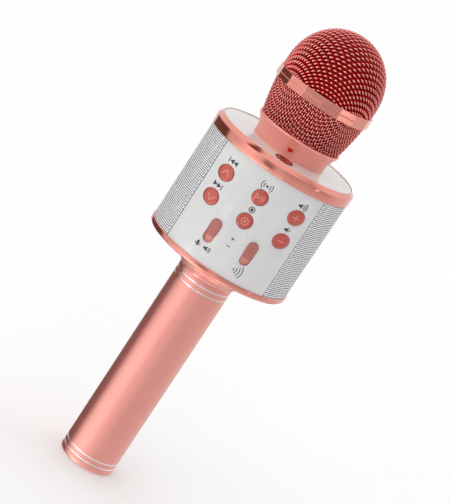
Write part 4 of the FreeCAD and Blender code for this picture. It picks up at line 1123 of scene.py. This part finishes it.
def wrap(profile, reach, outward, flat):
    """Put flat points on the turned profile: direction stays, distance becomes way along it."""
    far, way = np.hypot(flat[..., 0], flat[..., 1]), np.arctan2(flat[..., 1], flat[..., 0])
    radius, level = (np.interp(far, reach, profile[:, axis]) for axis in (0, 1))
    slope = np.gradient(profile, reach, axis=0)
    lean = [np.interp(far, reach, slope[:, axis]) for axis in (0, 1)]
    normal = np.stack([-outward * lean[1] * np.cos(way), -outward * lean[1] * np.sin(way),
                       outward * lean[0]], -1)
    normal /= np.linalg.norm(normal, axis=-1)[..., None]
    place = np.stack([radius * np.cos(way), radius * np.sin(way), level], -1)
    return place, normal, far


print("the dome's straight foot ends at", round(crown_low, 1))

# %% [markdown]
# ## Over and under
# Wires of one family rise and dip as a cosine, those of the other do the opposite, so each crossing
# is over and under. Rings of points round each wire then make the tubes. On the dome the warp is the
# thicker family, and the weft's colour is darkened as painted shade. On the cup both are nearly alike.
# Each point also keeps its crest shade value, which the finish turns into painted shade.

# %% The weave
DOME_PITCH, CUP_PITCH = 1.85, 2.08
DOME_WIRES = [(0.86, 0.37, 1.0), (0.6, 0.37, 0.52)]  # thickness, crimp, painted brightness of its crests: below 1 is painted shade
CUP_WIRES = [(0.6, 0.31, 0.92), (0.64, 0.32, 1.0)]


def woven(profile, reach, outward, family, pitch, wire, crimp, painted_brightness, sides=6, steps=5):
    """One family of wires as points, faces and each point's height from 0 to 1 times its painted
    brightness.

    Along a wire the height above the surface is the crimp times cos(pi * (distance + lane) / pitch),
    and it changes sign from lane to lane and from family to family.
    """
    widest, narrowest = reach[-1], reach[0]
    count = int(widest // pitch) + 1
    lane, way = np.meshgrid(np.arange(-count, count + 1),
                            np.arange(-count * steps, count * steps + 1) / steps, indexing="ij")
    flat = np.stack([way, lane] if family == 0 else [lane, way], -1) * pitch
    place, normal, far = wrap(profile, reach, outward, flat)
    height = (1 if family == 0 else -1) * np.cos(math.pi * (way + lane))
    place = place + normal * (crimp * height)[..., None]
    tangent = np.gradient(place, axis=1)
    tangent /= np.linalg.norm(tangent, axis=-1)[..., None] + 1e-12
    beside = np.cross(tangent, normal)
    beside /= np.linalg.norm(beside, axis=-1)[..., None] + 1e-12
    upright = np.cross(beside, tangent)
    angle = np.arange(sides) * 2 * math.pi / sides
    ring = (place[..., None, :] + wire / 2 * (upright[..., None, :] * np.cos(angle)[:, None]
                                              + beside[..., None, :] * np.sin(angle)[:, None]))
    # crest_shade darkens the wire's colour where low: painted shade in valleys and on the dimmer family
    crest_shade = painted_brightness * (0.5 + (crimp * height[..., None] + wire / 2 * np.cos(angle)) / (2 * crimp + wire))
    inside = (far >= narrowest) & (far <= widest)
    index = np.arange(inside.size).reshape(inside.shape)
    joined = inside[:, :-1] & inside[:, 1:]
    base = index[:, :-1][joined][:, None] * sides + np.arange(sides)
    ahead = np.roll(base, -1, axis=1)
    tubes = np.stack([base, ahead, ahead + sides, base + sides], -1).reshape(-1, 4)
    padded = np.pad(inside, ((0, 0), (1, 1)))
    first = index[inside & ~padded[:, :-2] & padded[:, 2:]][:, None] * sides + np.arange(sides)
    last = index[inside & padded[:, :-2] & ~padded[:, 2:]][:, None] * sides + np.arange(sides)
    used = np.unique(np.concatenate([tubes.ravel(), first.ravel(), last.ravel()]))
    renumber = np.full(inside.size * sides, -1)
    renumber[used] = np.arange(len(used))
    faces = [renumber[cells].tolist() for cells in (tubes, first[:, ::-1], last)]
    return ring.reshape(-1, 3)[used], sum(faces, []), crest_shade.reshape(-1)[used]


def woven_piece(name, node, profile, reach, outward, pitch, wires):
    """Both families over one profile, each as a piece of its own that carries its crest values."""
    for family, label in enumerate(("warp", "weft")):
        points, faces, crest_shade = woven(profile, reach, outward, family, pitch, *wires[family])
        piece = finish_mesh(f"{name}_{label}", points, faces, sharp=80, weld=False)
        values = piece.data.attributes.new("crest_shade", "FLOAT", "POINT")
        values.data.foreach_set("value", crest_shade.astype(np.float32))
        dress(piece, ROSE_WIRE, "head", "rose_mesh", node)


# %% [markdown]
# ## Upper and lower grille
# The dome is wrapped from its apex. The cup below the band is wrapped from a ring of cloth that is
# wider than the cup, and so it is gathered in all round. That is why its wires stand close together
# and fall into nested arcs.

# %% Two woven grilles
TUCK = 0.6
dome_profile = crown_profile(DOME_RADIUS - WIRE_INSET, APEX - crown_low - WIRE_INSET, crown_low,
                             BAND_TOP - TUCK, DOME_FULLNESS)
woven_piece("woven_dome", "upper_grille", dome_profile, along(dome_profile), 1, DOME_PITCH,
            DOME_WIRES)

CUP_LOW_RADIUS, CUP_CURVE, CUP_DISC = 21.2, 150.0, 31.0
cup_start = (CUP_LOW_RADIUS - WIRE_INSET, HEAD_LOW)
cup_end = (CUP_TOP_RADIUS - WIRE_INSET, BAND_LOW + TUCK)
cup_profile = np.array([cup_start, *bend(cup_start, cup_end, CUP_CURVE, hollow=False, steps=30),
                        cup_end])
woven_piece("woven_cup", "lower_grille", cup_profile, along(cup_profile, CUP_DISC), -1, CUP_PITCH,
            CUP_WIRES)

# %% [markdown]
# ## Foam inside the head
# Behind the wire is a sleeve of open foam that keeps breath off the capsule. It could be a smooth
# dome, but light falls on it through every mesh, so its skin is roughened by a sum of sines. A thin
# hem reaches on down to the foot of the cup, so that deep red shows through all of the wire.

# %% Foam sleeve
FOAM_GAP, FOAM_WALL, FOAM_SIDES = 1.75, 2.2, 120
HEM, HEM_FOOT, HEM_STEP = 0.5, 0.6, 0.3
foam_low = low("foam_liner")[2]


def foam_outline():
    """Down the outside from the apex, round the hem, and up the inside."""
    wide, narrow = CUP_TOP_RADIUS - FOAM_GAP, CUP_LOW_RADIUS - FOAM_GAP
    foot = narrow + (CUP_TOP_RADIUS - CUP_LOW_RADIUS) * (foam_low - HEAD_LOW) / (BAND_LOW - HEAD_LOW)
    crown = crown_profile(DOME_RADIUS - FOAM_GAP, APEX - crown_low - FOAM_GAP, crown_low, BAND_LOW,
                          DOME_FULLNESS, 60)[:-1]
    hem = [(wide, BAND_LOW), (foot, foam_low), (narrow, HEAD_LOW + HEM_FOOT),
           (narrow - HEM, HEAD_LOW + HEM_FOOT), (foot - HEM, foam_low)]
    inside = [(foot - FOAM_WALL, foam_low + HEM_STEP), (wide - FOAM_WALL, crown_low)]
    hollow = crown_profile(wide - FOAM_WALL, APEX - crown_low - FOAM_GAP - FOAM_WALL, crown_low,
                           BAND_LOW, DOME_FULLNESS, 30)[:30][::-1]
    return np.vstack([crown, hem, inside, hollow])


def foam_shape():
    """The outline turned, and each radius changed a little by sin * sin + sin of angle and height."""
    points, faces = turned(foam_outline()[::-1], FOAM_SIDES)
    angle = np.arctan2(points[..., 1], points[..., 0])
    rough = (np.sin(angle * 37 + points[..., 2] * 3.1) * np.sin(points[..., 2] * 4.7)
             + np.sin(angle * 61 - points[..., 2] * 5.3)) * 0.05
    return points * (1 + rough[..., None] / 24 * (points[..., :1] != 0)), faces


foam = finish_mesh("foam_sleeve", *foam_shape(), sharp=80)
dress(foam, FOAM_RED, "head", "foam", "foam_liner")

# %% [markdown]
# ## The faceted band
# A ring of sixteen flats joins the two grilles, with a fine line round its middle. Its outline is
# turned like the others, but with sixteen sides and flat shading, and a bevel gives each corner a
# hair of light.

# %% Faceted band
FACETS, BAND_INNER, LINE_WIDTH, LINE_DEPTH, CHAMFER = 16, 22.2, 0.5, 0.25, 0.12
band_middle = (BAND_LOW + BAND_TOP) / 2
points, faces = turned([
    (BAND_INNER, BAND_LOW), (BAND_RADIUS, BAND_LOW), (BAND_RADIUS, band_middle - LINE_WIDTH / 2),
    (BAND_RADIUS - LINE_DEPTH, band_middle), (BAND_RADIUS, band_middle + LINE_WIDTH / 2),
    (BAND_RADIUS, BAND_TOP), (BAND_INNER, BAND_TOP)], FACETS)
band = finish_mesh("faceted_band", points, faces, sharp=5)
chamfer = band.modifiers.new("chamfer", "BEVEL")
chamfer.width, chamfer.segments, chamfer.limit_method = CHAMFER * MM, 1, "ANGLE"
chamfer.angle_limit = math.radians(15)
band.data.polygons.foreach_set("use_smooth", np.zeros(len(band.data.polygons), bool))
dress(band, ROSE_GLOSS, "head", "rose_gloss", "grille_band")

# %% [markdown]
# ## Parts that keep their own mesh
# Boards, sockets, speakers, the cell and the screws already have the right shape in the frame. They
# only need a finish, so each record slot gets one material and every part that is left wears it.
# The screw ring shows through the wire at the foot of the head, so it is moulded in the foam's red.

# %% Finishes for the frame's own parts
SLOT_FINISH = {
    "inner_plastic": BLACK_MOULDED, "switch_plastic": BLACK_MOULDED, "circuit_board": BOARD_GREEN,
    "bare_metal": BARE_METAL, "speaker_frame": BLACK_MOULDED, "speaker_paper": PAPER_BLACK,
    "battery_wrap": BATTERY_BLUE, "lead_cover": LEAD_RED, "white_panel": WHITE_GLOSS,
    "rose_gloss": ROSE_GLOSS, "rose_satin": ROSE_SATIN, "rose_button": ROSE_BUTTON,
    "rose_mesh": ROSE_NECK, "speaker_mesh": WHITE_SHEET, "power_red": POWER_RED_REFLECTION,
    "lens_red": LENS_RED, "foam": FOAM_RED,
}
for part in frame["record"]["subparts"]:
    mesh = frame["nodes"][part["node"]].data
    mesh.materials.clear()
    mesh.materials.append(SLOT_FINISH[part["material_slot"]])
frame["nodes"]["screw_ring"].data.materials[0] = RED_MOULDED

# %% [markdown]
# ## Floor and light
# The toy stands on a plain pale floor in a white studio. Polished metal is only as good as what it
# mirrors, and it mirrors the studio, not the floor: the floor is left out of mirror rays, so that the
# metal sees the studio all the way down.

# %% Floor
FLOOR_REACH, FLOOR_DROP = 8.0, 0.05


def make_floor():
    """A flat disc at the foot of the toy: rings of growing radius."""
    reach = np.array([0.0, 0.1, 0.4, 1.5, FLOOR_REACH])[:, None] / MM
    angle = np.arange(64) * 2 * math.pi / 64
    points = np.stack([reach * np.cos(angle), reach * np.sin(angle), np.full((5, 64), -FLOOR_DROP)], -1)
    floor = finish_mesh("studio_floor", points, grid_faces(5, 64, wrap_columns=True, flip=True))
    floor.data.materials.append(finish_of("pale floor", srgb(250, 250, 250), srgb(252, 252, 252),
                                          (0.7, 0.8), broad=5, bump=0.0))
    floor.visible_glossy = False


make_floor()
print("floor:", 2 * FLOOR_REACH, "m across")

# %% [markdown]
# ## A card in the studio
# The studio is drawn into the world as soft-edged cards, each placed by the direction in which the
# metal sees it: turn round the toy and rise above the horizon, in degrees. Bright cards are the key
# lights and the glow of the floor. Dark ones are the flags that give the metal its contrast. A later
# card lies over an earlier one.

# %% Cards
ROOM_LIGHT, CEILING_LIGHT = 0.95, 1.2
DEEP_ROSE = (0.2, 0.12, 0.1)
CARDS = [  # name, turn and its half, rise and its half, softness, colour
    ("dim right front", 55, 44, 27, 38, 14, (0.57, 0.56, 0.56)),
    ("key", -48, 15, 8, 50, 18, (1.42, 1.41, 1.4)),
    ("dip beside the key", -13, 9, -12.5, 5, 6, (0.36, 0.3, 0.28)),
    ("key for the handle, right part", -8, 22, -29, 12, 4, (1.3, 1.29, 1.28)),
    ("key for the handle", -46, 34, -29, 12, 4, (1.8, 1.78, 1.76)),
    ("low key", -47, 14, -50, 17, 5, (5.5, 5.4, 5.3)),
    ("dark left", -124, 28, -20, 28, 6, DEEP_ROSE),
    ("floor glow", 0, 180, -78, 10, 4, (1.7, 1.66, 1.62)),
    ("dark left, low", -156, 26, -26, 10, 4, DEEP_ROSE),
    ("dark right edge", 171, 12, -26, 10, 4, DEEP_ROSE),
    ("dark flag above", -80, 13, 63, 8, 4, (0.25, 0.14, 0.12)),
    ("spark on the band", 67.5, 2.6, -7.8, 1.0, 0.5, (2.3, 2.3, 2.3)),
]
print("cards:", [card[0] for card in CARDS])

# %% [markdown]
# ## The shape of a card
# A card is 1 inside a rectangle of turn and rise and 0 outside, with a soft edge. Turn wraps round at
# 180 degrees, so there the shorter way round counts. All cards share this group.

# %% The card's shader group


def card_group():
    """A soft-edged rectangle in the directions around the toy: 1 inside, 0 outside."""
    group, ends_in, ends_out = new_group("studio card", [
        ("Turn", "Float", 0.0), ("Rise", "Float", 0.0), ("Card Turn", "Float", 0.0),
        ("Half Turn", "Float", 10.0), ("Card Rise", "Float", 0.0), ("Half Rise", "Float", 10.0),
        ("Softness", "Float", 3.0)], [("Mask", "Float")])
    links = group.links.new

    def side(value, card, half, wraps):
        """How much of the card is met in one way: away = |value - card|, then a smooth step."""
        away = add_node(group, "Math", props={"operation": "SUBTRACT"})
        links(ends_in.outputs[value], away.inputs[0])
        links(ends_in.outputs[card], away.inputs[1])
        size = add_node(group, "Math", props={"operation": "ABSOLUTE"})
        links(away.outputs[0], size.inputs[0])
        if wraps:
            other = add_node(group, "Math", props={"operation": "SUBTRACT"}, _0=360.0)
            links(size.outputs[0], other.inputs[1])
            least = add_node(group, "Math", props={"operation": "MINIMUM"})
            links(size.outputs[0], least.inputs[0])
            links(other.outputs[0], least.inputs[1])
            size = least
        ends = [add_node(group, "Math", props={"operation": kind}) for kind in ("SUBTRACT", "ADD")]
        for end in ends:
            links(ends_in.outputs[half], end.inputs[0])
            links(ends_in.outputs["Softness"], end.inputs[1])
        step = add_node(group, "MapRange", props={"interpolation_type": "SMOOTHSTEP"}, To_Min=1.0,
                        To_Max=0.0)
        links(size.outputs[0], step.inputs["Value"])
        links(ends[0].outputs[0], step.inputs["From Min"])
        links(ends[1].outputs[0], step.inputs["From Max"])
        return step

    both = add_node(group, "Math", props={"operation": "MULTIPLY"})
    links(side("Turn", "Card Turn", "Half Turn", True).outputs["Result"], both.inputs[0])
    links(side("Rise", "Card Rise", "Half Rise", False).outputs["Result"], both.inputs[1])
    links(both.outputs[0], ends_out.inputs["Mask"])
    return group


CARD = card_group()
print("a card takes", [socket.name for socket in CARD.interface.items_tree if socket.in_out == "INPUT"])

# %% [markdown]
# ## The studio
# The world's shader works out turn and rise from the direction, fills the room with pale light that
# is brighter above, and mixes each card over that.

# %% Studio


def make_studio():
    """World light by direction: a pale room, brighter above, with a card for each entry."""
    world = bpy.data.worlds.new("white studio")
    bpy.context.scene.world = world
    world.use_nodes = True
    tree = world.node_tree
    links = tree.links.new
    place = add_node(tree, "TexCoord")
    parts = add_node(tree, "SeparateXYZ")
    front = add_node(tree, "Math", props={"operation": "MULTIPLY"}, _1=-1.0)
    turn = add_node(tree, "Math", props={"operation": "ARCTAN2"})
    rise = add_node(tree, "Math", props={"operation": "ARCSINE"})
    links(place.outputs["Generated"], parts.inputs["Vector"])
    links(parts.outputs["Y"], front.inputs[0])
    links(parts.outputs["X"], turn.inputs[0])
    links(front.outputs[0], turn.inputs[1])
    links(parts.outputs["Z"], rise.inputs[0])
    degrees = []
    for angle in (turn, rise):
        scaled = add_node(tree, "Math", props={"operation": "MULTIPLY"}, _1=180 / math.pi)
        links(angle.outputs[0], scaled.inputs[0])
        degrees.append(scaled.outputs[0])
    room = add_node(tree, "MapRange", props={"interpolation_type": "SMOOTHSTEP"}, From_Min=0.0,
                    From_Max=55.0, To_Min=ROOM_LIGHT, To_Max=CEILING_LIGHT)
    links(degrees[1], room.inputs["Value"])
    light = room.outputs["Result"]
    for name, card_turn, half_turn, card_rise, half_rise, softness, colour in CARDS:
        mask = add_node(tree, "Group", props={"node_tree": CARD, "label": name}, Card_Turn=card_turn,
                        Half_Turn=half_turn, Card_Rise=card_rise, Half_Rise=half_rise,
                        Softness=softness)
        links(degrees[0], mask.inputs["Turn"])
        links(degrees[1], mask.inputs["Rise"])
        mix = add_node(tree, "MixRGB", Color2=(*colour, 1))
        links(mask.outputs["Mask"], mix.inputs["Fac"])
        links(light, mix.inputs["Color1"])
        light = mix.outputs["Color"]
    links(light, tree.nodes["Background"].inputs["Color"])


make_studio()
bpy.context.scene.view_settings.view_transform = "Standard"
print("world:", bpy.context.scene.world.name)

# %% [markdown]
# ## Camera
# A long lens about a forearm and a half away, a little above the toy, and rolled so that the
# microphone leans to the right across the frame.

# %% Camera
CAMERA_TURN, CAMERA_RISE, CAMERA_ROLL = -1.6, 13.93, 33.35
CAMERA_AWAY, CAMERA_LENS, AIM_HEIGHT, AIM_SIDE = 0.8645, 129.83, 0.1257, 0.00128
SENSOR, NEAR, FAR = 36, 0.01, 50


def make_camera():
    """Stand back from the aim point by turn and rise, look at it, and roll about the line of sight."""
    turn, rise = math.radians(CAMERA_TURN), math.radians(CAMERA_RISE)
    back = Vector((math.sin(turn) * math.cos(rise), -math.cos(turn) * math.cos(rise), math.sin(rise)))
    camera = bpy.data.objects.new("camera", bpy.data.cameras.new("camera"))
    bpy.context.scene.collection.objects.link(camera)
    look = (-back).to_track_quat("-Z", "Y").to_matrix()
    aim = Vector((0, 0, AIM_HEIGHT)) + look.col[0] * AIM_SIDE
    roll = Matrix.Rotation(math.radians(CAMERA_ROLL), 3, "Z")
    camera.matrix_world = Matrix.Translation(aim + back * CAMERA_AWAY) @ (look @ roll).to_4x4()
    camera.data.lens = CAMERA_LENS
    camera.data.sensor_width = SENSOR
    camera.data.clip_start, camera.data.clip_end = NEAR, FAR
    bpy.context.scene.camera = camera


make_camera()
print("camera", CAMERA_AWAY, "m away, turned", CAMERA_TURN, "and", CAMERA_RISE, "degrees up")
